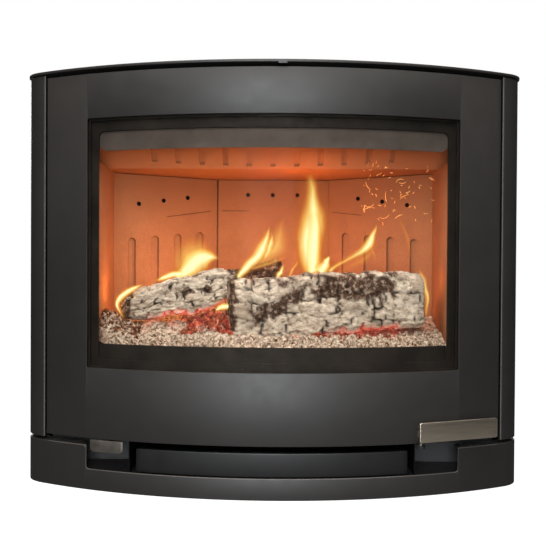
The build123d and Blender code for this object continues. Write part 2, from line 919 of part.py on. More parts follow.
with BuildPart() as door_lugs:
    for low, high in ((face_bottom + running_gap, face_bottom + 5.5), (face_top - 5.5, face_top - 0.5)):
        raised(disc(6.2, hinge_across, hinge_depth), low, high)
        raised(curved_band(door_sheet, 5, 2.5 - door_half, 19.5 - door_half), low, high)
    raised(curved_band(-5, door_sheet + 5, -half_width + 15, -face_half + 3.5), 0, body_height, Mode.SUBTRACT)
    raised(disc(hinge_pin_radius + running_gap, hinge_across, hinge_depth), 0, body_height, Mode.SUBTRACT)
door_lugs.part.label = "Door lugs"

handle_pin_depth = arc_depth(-handle_pin_proud, handle_across)
ear_low = handle_bottom + 3.5
ear_high = ear_low + 10
ear_sheet = 2.5
knuckle_low = ear_low + ear_sheet + 0.3
knuckle_high = ear_high - 0.3

with BuildPart() as handle_bracket:
    for low in (ear_low, ear_high):
        raised(disc(3.6, handle_across, handle_pin_depth), low, low + ear_sheet)
        raised(
            curved_band(-handle_pin_proud, handle_pin_proud, handle_across - 3.6, handle_across + 3.6),
            low,
            low + ear_sheet,
        )
    raised(
        curved_band(-1.2, 1.2, handle_across - 5, handle_across + 5),
        ear_low - 2,
        ear_high + ear_sheet + 2,
    )
    raised(
        disc(handle_pin_radius + running_gap, handle_across, handle_pin_depth),
        0,
        body_height,
        Mode.SUBTRACT,
    )
handle_bracket.part.label = "Handle bracket"

# Door handle with its pin and latch tongue.
handle_start = handle_across - 2
start_depth = arc_depth(-handle_proud, handle_start)
end_depth = arc_depth(-handle_proud, handle_end)
handle_run = hypot(handle_end - handle_start, end_depth - start_depth)
along_x = (handle_end - handle_start) / handle_run
along_y = (end_depth - start_depth) / handle_run


def from_pin(along, outward):
    """Sideways position and depth of a point given from the handle pin."""
    across = handle_across + along * along_x + outward * along_y
    depth = handle_pin_depth + along * along_y - outward * along_x
    return across, depth


with BuildPart() as door_handle:
    raised(
        outline(
            (handle_start, start_depth),
            (handle_end, end_depth),
            (handle_end - handle_sheet * along_y, end_depth + handle_sheet * along_x),
            (handle_start - handle_sheet * along_y, start_depth + handle_sheet * along_x),
        ),
        handle_bottom,
        handle_top,
    )
    chamfer(door_handle.edges(), length=0.5)
    raised(disc(3.6, handle_across, handle_pin_depth), knuckle_low, knuckle_high)
    raised(
        outline(from_pin(-3.6, 0), from_pin(3.6, 0), from_pin(3.6, 4.6), from_pin(-3.6, 4.6)),
        knuckle_low,
        knuckle_high,
    )
    raised(
        disc(handle_pin_radius + fixed_gap, handle_across, handle_pin_depth),
        ear_low,
        ear_high,
        Mode.SUBTRACT,
    )
door_handle.part.label = "Door handle"

tongue_top = door_bottom - 1.2
tongue_low = tongue_top - 3.2

with BuildPart() as handle_pin:
    raised(
        disc(handle_pin_radius, handle_across, handle_pin_depth),
        tongue_low - 0.4,
        ear_high + ear_sheet + 1.5,
    )
handle_pin.part.label = "Handle pin"

with BuildPart() as latch_tongue:
    raised(disc(5, handle_across, handle_pin_depth), tongue_low, tongue_top)
    raised(
        block(handle_across - 2.5, handle_across + 2.5, handle_pin_depth, tongue_end),
        tongue_low,
        tongue_top,
    )
    raised(
        disc(handle_pin_radius + fixed_gap, handle_across, handle_pin_depth),
        tongue_low - 5,
        tongue_top + 1,
        Mode.SUBTRACT,
    )
latch_tongue.part.label = "Latch tongue"

# Air lever.
lever_sheet = 3
stem_left = lever_middle - stem_half
stem_right = lever_middle + stem_half
stem_front = arc_depth(0, stem_right) + 2
stem_rear = 166.5

with BuildPart() as air_lever:
    raised(curved_band(0, lever_sheet, lever_left, lever_right), lever_top - lever_height, lever_top)
    through(seen(lever_left, lever_right, lever_top - lever_height, door_bottom + 10, radius=5), Mode.INTERSECT)
    raised(block(stem_left, stem_right, stem_front, stem_rear), stem_low, stem_high)
    raised(block(stem_left, stem_right, stem_rear - lever_sheet, stem_rear), stem_low, damper_bottom)
    raised(
        block(stem_left, stem_right, stem_rear - lever_sheet, 190),
        damper_bottom - lever_sheet,
        damper_bottom,
    )
air_lever.part.label = "Air lever"

with BuildPart() as air_damper:
    raised(block(damper_left, damper_right, 150, 232), damper_bottom, damper_bottom + 2)
air_damper.part.label = "Air damper"

# Ash drawer.
drawer_inset = 5
drawer_sheet = 2.5
pan_half = drawer_half - 5.5
pan_sheet = 1.2
pan_front = drawer_inset + drawer_sheet

with BuildPart() as ash_drawer_front:
    raised(curved_band(drawer_inset, drawer_sheet, -drawer_half, drawer_half), drawer_bottom, drawer_top)
    raised(curved_band(drawer_inset, 8, -drawer_half, drawer_half), drawer_top - 1.5, drawer_top)
ash_drawer_front.part.label = "Ash drawer front"

with BuildPart() as ash_pan:
    raised(box_outline(pan_front, pan_half, pan_back), drawer_bottom, drawer_top - 3)
    raised(
        box_outline(pan_front + pan_sheet, pan_half - pan_sheet, pan_back - pan_sheet),
        drawer_bottom + pan_sheet,
        drawer_top,
        Mode.SUBTRACT,
    )
ash_pan.part.label = "Ash pan"

export_step(wall_bracket.part, "parts/wall_bracket.step")
export_step(left_hanging_plate.part, "parts/left_hanging_plate.step")
export_step(right_hanging_plate.part, "parts/right_hanging_plate.step")
export_step(back_panel.part, "parts/back_panel.step")
export_step(casing_screws.part, "parts/casing_screws.step")
export_step(right_side_panel.part, "parts/right_side_panel.step")
export_step(left_side_panel.part, "parts/left_side_panel.step")
export_step(top_plate.part, "parts/top_plate.step")
export_step(top_catch_tab.part, "parts/top_catch_tab.step")
export_step(panel_spacers.part, "parts/panel_spacers.step")
export_step(base_skirt.part, "parts/base_skirt.step")
export_step(base_plate.part, "parts/base_plate.step")
export_step(right_recess_wall.part, "parts/right_recess_wall.step")
export_step(left_recess_wall.part, "parts/left_recess_wall.step")
export_step(drawer_housing.part, "parts/drawer_housing.step")
export_step(drawer_runners.part, "parts/drawer_runners.step")
export_step(right_support_leg.part, "parts/right_support_leg.step")
export_step(left_support_leg.part, "parts/left_support_leg.step")
export_step(air_riser.part, "parts/air_riser.step")
export_step(air_inlet_collar.part, "parts/air_inlet_collar.step")
export_step(air_box.part, "parts/air_box.step")
export_step(ash_chute.part, "parts/ash_chute.step")
export_step(damper_guides.part, "parts/damper_guides.step")
export_step(firebox_shell.part, "parts/firebox_shell.step")
export_step(firebox_front.part, "parts/firebox_front.step")
export_step(hinge_brackets.part, "parts/hinge_brackets.step")
export_step(hinge_pins.part, "parts/hinge_pins.step")
export_step(latch_keeper.part, "parts/latch_keeper.step")
export_step(floor_lining.part, "parts/floor_lining.step")
export_step(right_side_lining.part, "parts/right_side_lining.step")
export_step(left_side_lining.part, "parts/left_side_lining.step")
export_step(right_angled_lining.part, "parts/right_angled_lining.step")
export_step(left_angled_lining.part, "parts/left_angled_lining.step")
export_step(back_lining.part, "parts/back_lining.step")
export_step(baffle.part, "parts/baffle.step")
export_step(smoke_deflector.part, "parts/smoke_deflector.step")
export_step(air_wash_plate.part, "parts/air_wash_plate.step")
export_step(log_retainer.part, "parts/log_retainer.step")
export_step(grate.part, "parts/grate.step")
export_step(flue_collar.part, "parts/flue_collar.step")
export_step(flue_flange.part, "parts/flue_flange.step")
export_step(flue_flange_screws.part, "parts/flue_flange_screws.step")
export_step(door_plate.part, "parts/door_plate.step")
export_step(glass_gasket.part, "parts/glass_gasket.step")
export_step(door_glass.part, "parts/door_glass.step")
export_step(glass_frame.part, "parts/glass_frame.step")
export_step(glass_frame_screws.part, "parts/glass_frame_screws.step")
export_step(rope_channel.part, "parts/rope_channel.step")
export_step(door_rope.part, "parts/door_rope.step")
export_step(door_lugs.part, "parts/door_lugs.step")
export_step(handle_bracket.part, "parts/handle_bracket.step")
export_step(door_handle.part, "parts/door_handle.step")
export_step(handle_pin.part, "parts/handle_pin.step")
export_step(latch_tongue.part, "parts/latch_tongue.step")
export_step(air_lever.part, "parts/air_lever.step")
export_step(air_damper.part, "parts/air_damper.step")
export_step(ash_drawer_front.part, "parts/ash_drawer_front.step")
export_step(ash_pan.part, "parts/ash_pan.step")
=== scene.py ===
import json
import math
import random

import bmesh
import bpy
from mathutils import Matrix, Vector, noise


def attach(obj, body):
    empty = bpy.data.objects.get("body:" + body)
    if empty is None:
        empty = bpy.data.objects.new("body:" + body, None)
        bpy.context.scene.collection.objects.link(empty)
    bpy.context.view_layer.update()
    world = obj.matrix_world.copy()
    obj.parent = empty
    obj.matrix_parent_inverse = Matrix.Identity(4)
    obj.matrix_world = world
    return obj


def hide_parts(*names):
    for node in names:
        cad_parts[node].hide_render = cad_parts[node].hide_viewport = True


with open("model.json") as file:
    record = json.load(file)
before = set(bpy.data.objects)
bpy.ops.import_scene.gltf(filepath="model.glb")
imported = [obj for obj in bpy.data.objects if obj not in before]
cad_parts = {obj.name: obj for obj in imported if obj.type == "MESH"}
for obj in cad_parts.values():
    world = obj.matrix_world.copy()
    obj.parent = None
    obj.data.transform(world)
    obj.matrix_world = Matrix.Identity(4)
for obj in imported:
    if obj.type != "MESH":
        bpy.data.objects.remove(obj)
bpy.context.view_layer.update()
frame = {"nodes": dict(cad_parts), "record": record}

# Driving sizes in metres. Heights run up from the underside of the base skirt,
# depths run back from the middle of the curved front, as on the drawings.
BRACKET_HEIGHT = 0.300
BODY_DEPTH = 0.385
BODY_HALF = 0.295
BODY_HEIGHT = 0.487
CASING_BACK = 0.352
FRONT_RADIUS = 0.497
CORNER_RADIUS = 0.045
BOW_CENTRE = FRONT_RADIUS - BODY_DEPTH
DOOR_HALF = 0.2665
DOOR_LOW = 0.060
DOOR_HIGH = 0.479
WINDOW_HALF = 0.214
WINDOW_LOW = 0.141
WINDOW_HIGH = 0.428
MM = 0.001
SAME_PLACE = 0.005 * MM


def up(height):
    """Height above the underside, as Z."""
    return height - BRACKET_HEIGHT


def back(depth):
    """Depth behind the middle of the curved front, as Y."""
    return depth - BODY_DEPTH


def spot(across, depth, height):
    """Point in the stove given as sideways position, depth and height."""
    return Vector((across, back(depth), up(height)))


def on_bow(across, inset, height):
    """Point on the curved front, set in by inset."""
    radius = FRONT_RADIUS - inset
    return Vector((across, BOW_CENTRE - math.sqrt(radius**2 - across**2), up(height)))


# Finishes.


class Finish:
    """A surface finish: one Principled shader and the patterns that feed it."""

    def __init__(self, name, **sockets):
        self.material = bpy.data.materials.new(name)
        self.material.use_nodes = True
        self.nodes = self.material.node_tree.nodes
        self.links = self.material.node_tree.links
        self.shader = self.nodes["Principled BSDF"]
        for socket, value in sockets.items():
            self.shader.inputs[socket.replace("_", " ").title().replace("Ior", "IOR")].default_value = value
        self.relief = None

    def add(self, kind, **settings):
        node = self.nodes.new(kind)
        for name, value in settings.items():
            setattr(node, name, value)
        return node

    def feed(self, socket, source):
        self.links.new(source, self.shader.inputs[socket])

    def place(self, stretch=(1, 1, 1)):
        """Object coordinates, stretched for a pattern that runs one way."""
        coordinates = self.add("ShaderNodeTexCoord").outputs["Object"]
        mapping = self.add("ShaderNodeMapping")
        mapping.inputs["Scale"].default_value = stretch
        self.links.new(coordinates, mapping.inputs["Vector"])
        return mapping.outputs["Vector"]

    def grain(self, scale, detail=4, roughness=0.55, stretch=(1, 1, 1)):
        node = self.add("ShaderNodeTexNoise")
        for socket, value in (("Scale", scale), ("Detail", detail), ("Roughness", roughness)):
            node.inputs[socket].default_value = value
        self.links.new(self.place(stretch), node.inputs["Vector"])
        return node.outputs["Fac"]

    def cells(self, scale, feature="F1", output="Distance"):
        node = self.add("ShaderNodeTexVoronoi", feature=feature)
        node.inputs["Scale"].default_value = scale
        self.links.new(self.place(), node.inputs["Vector"])
        return node.outputs[output]

    def kept(self, name):
        """A value stored on the piece's points."""
        return self.add("ShaderNodeAttribute", attribute_name=name).outputs["Fac"]

    def height_in_stove(self, low, high):
        """0 at a low height and 1 at a high one."""
        split = self.add("ShaderNodeSeparateXYZ")
        self.links.new(self.place(), split.inputs["Vector"])
        return self.spread(split.outputs["Z"], up(low), up(high), 0, 1)

    def spread(self, source, low, high, to_low, to_high):
        node = self.add("ShaderNodeMapRange")
        for socket, value in zip(("From Min", "From Max", "To Min", "To Max"), (low, high, to_low, to_high)):
            node.inputs[socket].default_value = value
        self.links.new(source, node.inputs["Value"])
        return node.outputs["Result"]

    def tones(self, source, *stops):
        node = self.add("ShaderNodeValToRGB")
        ramp = node.color_ramp
        while len(ramp.elements) < len(stops):
            ramp.elements.new(0.5)
        for element, (position, colour) in zip(ramp.elements, stops):
            element.position = position
            element.color = (*colour, 1)
        self.links.new(source, node.inputs["Fac"])
        return node.outputs["Color"]

    def blend(self, factor, first, second):
        node = self.add("ShaderNodeMix", data_type="RGBA")
        self.links.new(factor, node.inputs[0])
        for socket, source in ((6, first), (7, second)):
            if isinstance(source, tuple):
                node.inputs[socket].default_value = (*source, 1)
            else:
                self.links.new(source, node.inputs[socket])
        return node.outputs[2]

    def maths(self, operation, first, second, clamp=False):
        node = self.add("ShaderNodeMath", operation=operation, use_clamp=clamp)
        for socket, source in enumerate((first, second)):
            if isinstance(source, (int, float)):
                node.inputs[socket].default_value = source
            else:
                self.links.new(source, node.inputs[socket])
        return node.outputs[0]

    def colour(self, source, *stops):
        self.feed("Base Color", self.tones(source, *stops) if stops else source)

    def dullness(self, source, low, high):
        self.feed("Roughness", self.spread(source, 0.25, 0.75, low, high))

    def bumps(self, source, distance, strength=1.0):
        """Relief of a real depth; each call adds to the ones before."""
        node = self.add("ShaderNodeBump")
        node.inputs["Distance"].default_value = distance
        node.inputs["Strength"].default_value = strength
        self.links.new(source, node.inputs["Height"])
        if self.relief:
            self.links.new(self.relief, node.inputs["Normal"])
        self.relief = node.outputs["Normal"]
        self.feed("Normal", self.relief)


def shaded(colour, shade):
    """A colour made darker or lighter."""
    return tuple(shade * part for part in colour)


def stove_paint(name="stove_paint", shade=1.0, gloss=0.5):
    """Charcoal heat-proof paint, sprayed, with a fine dry texture."""
    paint = Finish(name, roughness=0.5, specular_ior_level=gloss)
    mist = paint.grain(1400, detail=2)
    drift = paint.grain(9, detail=3)
    cloudy = paint.maths("ADD", paint.maths("MULTIPLY", mist, 0.35), drift)
    light, dark = shaded((0.0215, 0.0190, 0.0176), shade), shaded((0.0160, 0.0140, 0.0129), shade)
    paint.colour(cloudy, (0.45, dark), (0.85, light))
    paint.dullness(paint.grain(60, detail=6), 0.45, 0.53)
    paint.bumps(mist, 0.00006, 0.5)
    paint.bumps(paint.grain(350, detail=3), 0.00005, 0.5)
    return paint.material


def firebox_paint():
    """Black paint on the firebox steel, dulled by heat and soot."""
    paint = Finish("firebox_paint", roughness=0.65, specular_ior_level=0.35)
    soot = paint.grain(25, detail=6)
    paint.colour(soot, (0.35, (0.010, 0.009, 0.009)), (0.7, (0.028, 0.024, 0.021)))
    paint.dullness(paint.grain(90), 0.55, 0.8)
    paint.bumps(paint.grain(700, detail=3), 0.0001, 0.6)
    return paint.material


def zinc_sheet():
    """Galvanised sheet with its faint spangle."""
    zinc = Finish("zinc_sheet", metallic=1.0, roughness=0.4)
    spangle = zinc.cells(90, output="Color")
    zinc.colour(spangle, (0.2, (0.40, 0.42, 0.44)), (0.8, (0.58, 0.60, 0.62)))
    zinc.dullness(zinc.grain(120, detail=5), 0.32, 0.5)
    zinc.bumps(zinc.grain(400), 0.00004, 0.5)
    return zinc.material


def plated_fixings():
    """Zinc-plated screws and pins."""
    steel = Finish("plated_fixings", metallic=1.0, roughness=0.35)
    steel.colour(steel.grain(300), (0.3, (0.30, 0.30, 0.31)), (0.7, (0.48, 0.48, 0.49)))
    steel.dullness(steel.grain(500), 0.28, 0.45)
    return steel.material


def brushed_steel():
    """Stainless steel, brushed along the handle."""
    steel = Finish("brushed_steel", metallic=1.0, roughness=0.34)
    lines = steel.grain(30, detail=5, roughness=0.7, stretch=(1, 1, 60))
    steel.colour(lines, (0.3, (0.78, 0.665, 0.520)), (0.7, (0.96, 0.835, 0.680)))
    steel.dullness(lines, 0.28, 0.42)
    steel.bumps(lines, 0.00003, 0.6)
    return steel.material


def dull_steel():
    """Bare steel gone brown-grey from heat and hands."""
    steel = Finish("dull_steel", metallic=0.9, roughness=0.45)
    wear_and_highlight = steel.grain(70, detail=5)
    steel.colour(wear_and_highlight, (0.3, (0.17, 0.150, 0.128)), (0.7, (0.25, 0.222, 0.192)))
    steel.dullness(wear_and_highlight, 0.40, 0.55)
    steel.bumps(steel.grain(800), 0.00004, 0.5)
    return steel.material


def black_painted_shade():
    """Painted shade: dead black for a sheet in the dark behind the drawer."""
    black = Finish("black_painted_shade", roughness=0.9, specular_ior_level=0.05)
    black.colour(black.grain(60), (0.3, (0.003, 0.003, 0.003)), (0.7, (0.008, 0.008, 0.008)))
    return black.material


def lining_board(name="lining_board", shade=1.0, soot=0.45):
    """Fire board of pressed mineral flakes: buff, fine-pored, sooted in patches, darker towards the top and
    darker still towards the bottom.
    """
    board = Finish(name, roughness=0.95, specular_ior_level=0.08)
    flakes = board.grain(520, detail=3)
    cloud = board.grain(11, detail=5, roughness=0.55)
    light, dark = shaded((0.60, 0.280, 0.150), shade), shaded((0.50, 0.228, 0.118), shade)
    buff = board.tones(flakes, (0.35, dark), (0.65, light))
    stained = board.blend(board.spread(cloud, 0.38, 0.68, 0, soot), buff, shaded(dark, 0.62))
    darker_high = board.blend(board.height_in_stove(0.270, 0.385), stained, shaded(dark, 0.66))
    board.colour(board.blend(board.height_in_stove(0.20, 0.14), darker_high, shaded(dark, 0.5)))
    board.bumps(board.grain(900, detail=4), 0.0004, 0.5)
    board.bumps(board.cells(160), 0.0003, 0.3)
    return board.material


def grate_iron():
    """Cast iron with its sand-cast skin."""
    iron = Finish("grate_iron", roughness=0.75, metallic=0.3)
    iron.colour(iron.grain(60, detail=6), (0.3, (0.02, 0.018, 0.017)), (0.8, (0.07, 0.05, 0.04)))
    iron.bumps(iron.grain(500, detail=5), 0.0005, 0.8)
    return iron.material


def window_glass():
    """Clear glass ceramic with a faint warm tone and a thin haze in places."""
    glass = Finish("window_glass", roughness=0.06, specular_ior_level=0.5)
    haze = glass.grain(18, detail=5)
    glass.colour(haze, (0.3, (0.02, 0.018, 0.016)), (0.8, (0.05, 0.045, 0.04)))
    see_through = glass.add("ShaderNodeBsdfTransparent")
    tint = glass.tones(haze, (0.2, (0.93, 0.91, 0.88)), (0.8, (0.90, 0.87, 0.83)))
    glass.links.new(tint, see_through.inputs["Color"])
    sheen = glass.add("ShaderNodeFresnel")
    sheen.inputs["IOR"].default_value = 1.45
    mixed = glass.add("ShaderNodeMixShader")
    glass.links.new(glass.maths("MULTIPLY", sheen.outputs[0], 0.3), mixed.inputs[0])
    glass.links.new(see_through.outputs[0], mixed.inputs[1])
    glass.links.new(glass.shader.outputs[0], mixed.inputs[2])
    glass.links.new(mixed.outputs[0], glass.nodes["Material Output"].inputs["Surface"])
    return glass.material


def rope_braid():
    """Braided glass-fibre rope, grey with dark strands."""
    rope = Finish("rope_braid", roughness=0.95, specular_ior_level=0.1)
    weave = rope.cells(520, feature="SMOOTH_F1")
    rope.colour(weave, (0.2, (0.22, 0.21, 0.20)), (0.7, (0.05, 0.05, 0.05)))
    rope.bumps(weave, 0.0006, 0.9)
    return rope.material


def plain_steel():
    """Plain sheet, grey and dull from the heat."""
    steel = Finish("plain_steel", metallic=0.35, roughness=0.75)
    scale = steel.grain(40, detail=6)
    steel.colour(scale, (0.3, (0.112, 0.094, 0.088)), (0.7, (0.155, 0.130, 0.121)))
    steel.dullness(steel.grain(140), 0.66, 0.82)
    steel.bumps(steel.grain(500), 0.00005, 0.5)
    return steel.material


def burnt_wood():
    """Charred wood under pale ash, split into blocks, with a red glow deep in some cracks."""
    wood = Finish("burnt_wood", roughness=0.95, specular_ior_level=0.1)
    fine = wood.grain(210, detail=8, roughness=0.72, stretch=(0.55, 1, 1))
    ash = wood.tones(fine, (0.36, (0.24, 0.18, 0.14)), (0.44, (0.52, 0.45, 0.38)), (0.60, (0.84, 0.78, 0.69)))
    toned = wood.blend(wood.spread(wood.kept("block"), 0.35, 1, 0, 0.6), ash, (0.46, 0.38, 0.31))
    coarse = wood.grain(160, detail=7, roughness=0.7)
    coal = wood.tones(coarse, (0.36, (0.020, 0.014, 0.012)), (0.52, (0.115, 0.070, 0.050)),
                      (0.62, (0.40, 0.33, 0.28)))
    charred = wood.blend(wood.kept("char"), toned, coal)
    wood.colour(wood.blend(wood.kept("crack"), charred, (0.040, 0.028, 0.022)))
    wood.feed("Emission Color", wood.tones(fine, (0.3, (0.30, 0.012, 0.010)), (0.7, (0.75, 0.09, 0.05))))
    wood.feed("Emission Strength", wood.kept("glow"))
    wood.bumps(fine, 0.0022, 0.9)
    wood.bumps(wood.grain(900, detail=3), 0.0005, 0.6)
    return wood.material


def ash_crumbs():
    """Beige ash and crumbs with dark specks; the parts still alight glow red."""
    ash = Finish("ash_crumbs", roughness=0.97, specular_ior_level=0.05)
    specks = ash.grain(260, detail=6, roughness=0.75)
    pale = ash.tones(specks, (0.39, (0.12, 0.075, 0.05)), (0.47, (0.52, 0.41, 0.32)),
                     (0.57, (0.93, 0.85, 0.76)))
    dark = ash.tones(specks, (0.42, (0.055, 0.022, 0.012)), (0.60, (0.30, 0.13, 0.065)))
    ash.colour(ash.blend(ash.kept("char"), pale, dark))
    coals = ash.grain(150, detail=5)
    ash.feed("Emission Color", ash.tones(coals, (0.40, (0.12, 0.006, 0.008)), (0.54, (0.46, 0.036, 0.045)),
                                         (0.68, (0.95, 0.24, 0.10))))
    ash.feed("Emission Strength", ash.kept("glow"))
    ash.bumps(specks, 0.0025, 0.9)
    return ash.material


def flame_sheet():
    """Thin burning gas: orange and see-through at the edges, pale yellow where it is thick."""
    flame = Finish("flame_sheet", roughness=1.0, specular_ior_level=0.0)
    split = flame.add("ShaderNodeSeparateXYZ")
    flame.links.new(flame.add("ShaderNodeUVMap").outputs["UV"], split.inputs["Vector"])
    across, up_sheet = split.outputs["X"], split.outputs["Y"]
    licks = flame.grain(34, detail=2, stretch=(1.6, 1, 0.45))
    across = flame.maths("ADD", across, flame.maths("MULTIPLY", flame.maths("SUBTRACT", licks, 0.5), 0.30))
    off_middle = flame.maths("ABSOLUTE", flame.maths("SUBTRACT", flame.maths("MULTIPLY", across, 2), 1), 0)
    thick = flame.maths("SUBTRACT", 1, off_middle, clamp=True)
    foot, tip = flame.spread(up_sheet, 0, 0.07, 0, 1), flame.spread(up_sheet, 0.82, 1, 1, 0)
    burn = flame.kept("burn")
    heat = flame.maths("MULTIPLY", flame.maths("POWER", thick, 0.8), burn)
    flame.colour(licks, (0.4, (0, 0, 0)), (0.6, (0.002, 0.002, 0.002)))
    flame.feed("Emission Color", flame.tones(heat, (0.0, (1.0, 0.24, 0.03)), (0.24, (1.0, 0.42, 0.07)),
                                             (0.50, (1.0, 0.72, 0.19)), (0.80, (1.0, 0.94, 0.50))))
    flame.feed("Emission Strength", flame.spread(heat, 0, 0.8, 0.95, 1.70))
    body = flame.maths("POWER", thick, flame.spread(burn, 0.2, 0.9, 1.9, 0.62))
    cover = flame.maths("MULTIPLY", body, flame.maths("MULTIPLY", foot, tip))
    flame.feed("Alpha", flame.maths("MULTIPLY", cover, flame.spread(burn, 0, 0.8, 0.02, 0.98)))
    return flame.material


def spark_glow():
    """Flying sparks, hot orange."""
    spark = Finish("spark_glow", roughness=1.0)
    hot = spark.tones(spark.grain(90), (0.35, (1.0, 0.34, 0.06)), (0.65, (1.0, 0.66, 0.25)))
    spark.colour(hot)
    spark.feed("Emission Color", hot)
    spark.shader.inputs["Emission Strength"].default_value = 1.1
    return spark.material


def pressed_line():
    """Shallow line pressed into the boards, drawn as a dark strip."""
    line = Finish("pressed_line", roughness=0.95, specular_ior_level=0.1)
    line.colour(line.grain(80), (0.3, (0.12, 0.055, 0.030)), (0.7, (0.18, 0.085, 0.045)))
    return line.material


FINISHES = {
    "casing_paint": stove_paint(),
    "firebox_paint": firebox_paint(),
    "plain_steel": plain_steel(),
    "zinc_sheet": zinc_sheet(),
    "fixings": plated_fixings(),
    "handle_steel": brushed_steel(),
    "lining_board": lining_board(),
    "grate_iron": grate_iron(),
    "window_glass": window_glass(),
    "rope": rope_braid(),
}
BURNT_WOOD = burnt_wood()
ASH_CRUMBS = ash_crumbs()
FLAME_SHEET = flame_sheet()
SPARK_GLOW = spark_glow()
PRESSED_LINE = pressed_line()
DULL_STEEL = dull_steel()
# Painted shade: a much darker, glossier copy of the casing paint, for the drawer face and the recess walls in
# the shade under the door.
PAINTED_SHADE_PAINT = stove_paint("casing_paint_painted_shade", 0.20, 0.55)
# Painted highlight: a much lighter copy of the casing paint, for rounded edges that catch the light.
EDGE_HIGHLIGHT_PAINT = stove_paint("painted_edge_highlight", 3.4, 0.6)
# A darker copy of the board with more stain patches, for the back and angled boards.
DARKER_STAINED_BOARD = lining_board("darker_stained_board", 0.86, 0.6)
# Painted shade: dead black, for the drawer housing and the mouths of the air holes.
PAINTED_SHADE_BLACK = black_painted_shade()
SPECIAL = {
    "back_lining": DARKER_STAINED_BOARD,
    "left_angled_lining": DARKER_STAINED_BOARD,
    "right_angled_lining": DARKER_STAINED_BOARD,
    # Painted light: the baffle takes a much lighter copy of the board, with fewer stain patches; the lighter
    # tone stands for the strong light from the flames under it.
    "baffle": lining_board("baffle_board", 1.42, 0.3),
    "ash_pan": FINISHES["firebox_paint"],
    "air_lever": DULL_STEEL,
    "handle_pin": DULL_STEEL,
    "base_plate": FINISHES["casing_paint"],
    "latch_keeper": FINISHES["casing_paint"],
    # The recess walls take the painted-shade copy of the casing paint.
    "right_recess_wall": PAINTED_SHADE_PAINT,
    "left_recess_wall": PAINTED_SHADE_PAINT,
    "latch_tongue": FINISHES["firebox_paint"],
    # Painted shade: the drawer housing is dead black, for the dark behind the drawer.
    "drawer_housing": PAINTED_SHADE_BLACK,
}


def finish_cad_nodes():
    """Give every carried-over piece the finish of its slot, or its own."""
    slot_of = {part["node"]: part["material_slot"] for part in frame["record"]["subparts"]}
    for name, node in frame["nodes"].items():
        for place in node.material_slots:
            place.material = SPECIAL.get(name, FINISHES[slot_of[name]])


# Modelling by hand: small steps shared by the pieces.


def edit():
    bpy.ops.object.mode_set(mode="EDIT")


def leave_edit():
    bpy.ops.object.mode_set(mode="OBJECT")


def select_all():
    bpy.ops.mesh.select_all(action="SELECT")


def deselect():
    if bpy.context.mode != "OBJECT":
        leave_edit()
    bpy.ops.object.select_all(action="DESELECT")


def show(piece):
    bpy.context.scene.collection.objects.link(piece)


def pick(piece):
    deselect()
    piece.select_set(True)
    bpy.context.view_layer.objects.active = piece


def settle(piece):
    """Move a piece's place, turn and size into its mesh."""
    pick(piece)
    bpy.ops.object.transform_apply(location=True, rotation=True, scale=True)


def join(pieces, name):
    deselect()
    for piece in pieces:
        piece.select_set(True)
    bpy.context.view_layer.objects.active = pieces[0]
    if len(pieces) > 1:
        bpy.ops.object.join()
    pieces[0].name = name
    return pieces[0]


def weld():
    """In edit mode, merge corners that share a place."""
    select_all()
    bpy.ops.mesh.remove_doubles(threshold=SAME_PLACE)


def close_up(piece):
    """Merge doubles and turn all faces outwards."""
    pick(piece)
    edit()
    weld()
    bpy.ops.mesh.normals_make_consistent(inside=False)
    leave_edit()


def choose(kind, test):
    """In edit mode, select only the faces or edges that pass a test."""
    mesh = bmesh.from_edit_mesh(bpy.context.object.data)
    bpy.ops.mesh.select_all(action="DESELECT")
    bpy.context.tool_settings.mesh_select_mode = (False, kind == "edges", kind == "faces")
    for part in getattr(mesh, kind):
        part.select_set(test(part))
    mesh.select_flush_mode()
    bmesh.update_edit_mesh(bpy.context.object.data)


def middle(part):
    return sum((corner.co for corner in part.verts), Vector()) / len(part.verts)


def apply_modifiers(piece):
    pick(piece)
    for modifier in list(piece.modifiers):
        bpy.ops.object.modifier_apply(modifier=modifier.name)


def soften(piece, width=0.0006, segments=2, limit=38):
    """Round the edges by hand-file amounts and smooth the rest."""
    edges = piece.modifiers.new("soft_edges", "BEVEL")
    edges.width = width
    edges.segments = segments
    edges.limit_method = "ANGLE"
    edges.angle_limit = math.radians(limit)
    apply_modifiers(piece)
    bpy.ops.object.shade_smooth_by_angle(angle=math.radians(32))


def cut(piece, cutter, operation="DIFFERENCE"):
    """Cut one piece with another, which is then thrown away."""
    boolean = piece.modifiers.new("cut", "BOOLEAN")
    boolean.operation = operation
    boolean.object = cutter
    boolean.solver = "EXACT"
    apply_modifiers(piece)
    bpy.data.objects.remove(cutter)


def slab(name, left, right, front, rear, low, high, corner=0):
    """Block between two sideways positions, depths and heights; its four front edges may be rounded."""
    deselect()
    centre = spot((left + right) / 2, (front + rear) / 2, (low + high) / 2)
    bpy.ops.mesh.primitive_cube_add(size=1, location=centre)
    block = bpy.context.object
    block.name = name
    block.scale = (right - left, rear - front, high - low)
    settle(block)
    if corner:
        edit()
        choose("edges", lambda edge: abs((edge.verts[0].co - edge.verts[1].co).normalized().y) > 0.9)
        bpy.ops.mesh.bevel(offset=corner, segments=6, affect="EDGES")
        leave_edit()
    return block


def section(name, cells, origin, inward):
    """Cut face of a folded sheet: rectangles (near, far, low, high), joined along their shared edges."""
    turn = math.atan2(inward.y, inward.x)
    drawn = []
    for near, far, low, high in cells:
        centre = origin + inward * (near + far) / 2
        deselect()
        bpy.ops.mesh.primitive_plane_add(
            size=1, location=(centre.x, centre.y, up((low + high) / 2)), rotation=(math.pi / 2, 0, turn))
        cell = bpy.context.object
        cell.scale = (far - near, high - low, 1)
        settle(cell)
        drawn.append(cell)
    piece = join(drawn, name)
    edit()
    weld()
    return piece


BOW_STEPS = 96
CORNER_STEPS = 14


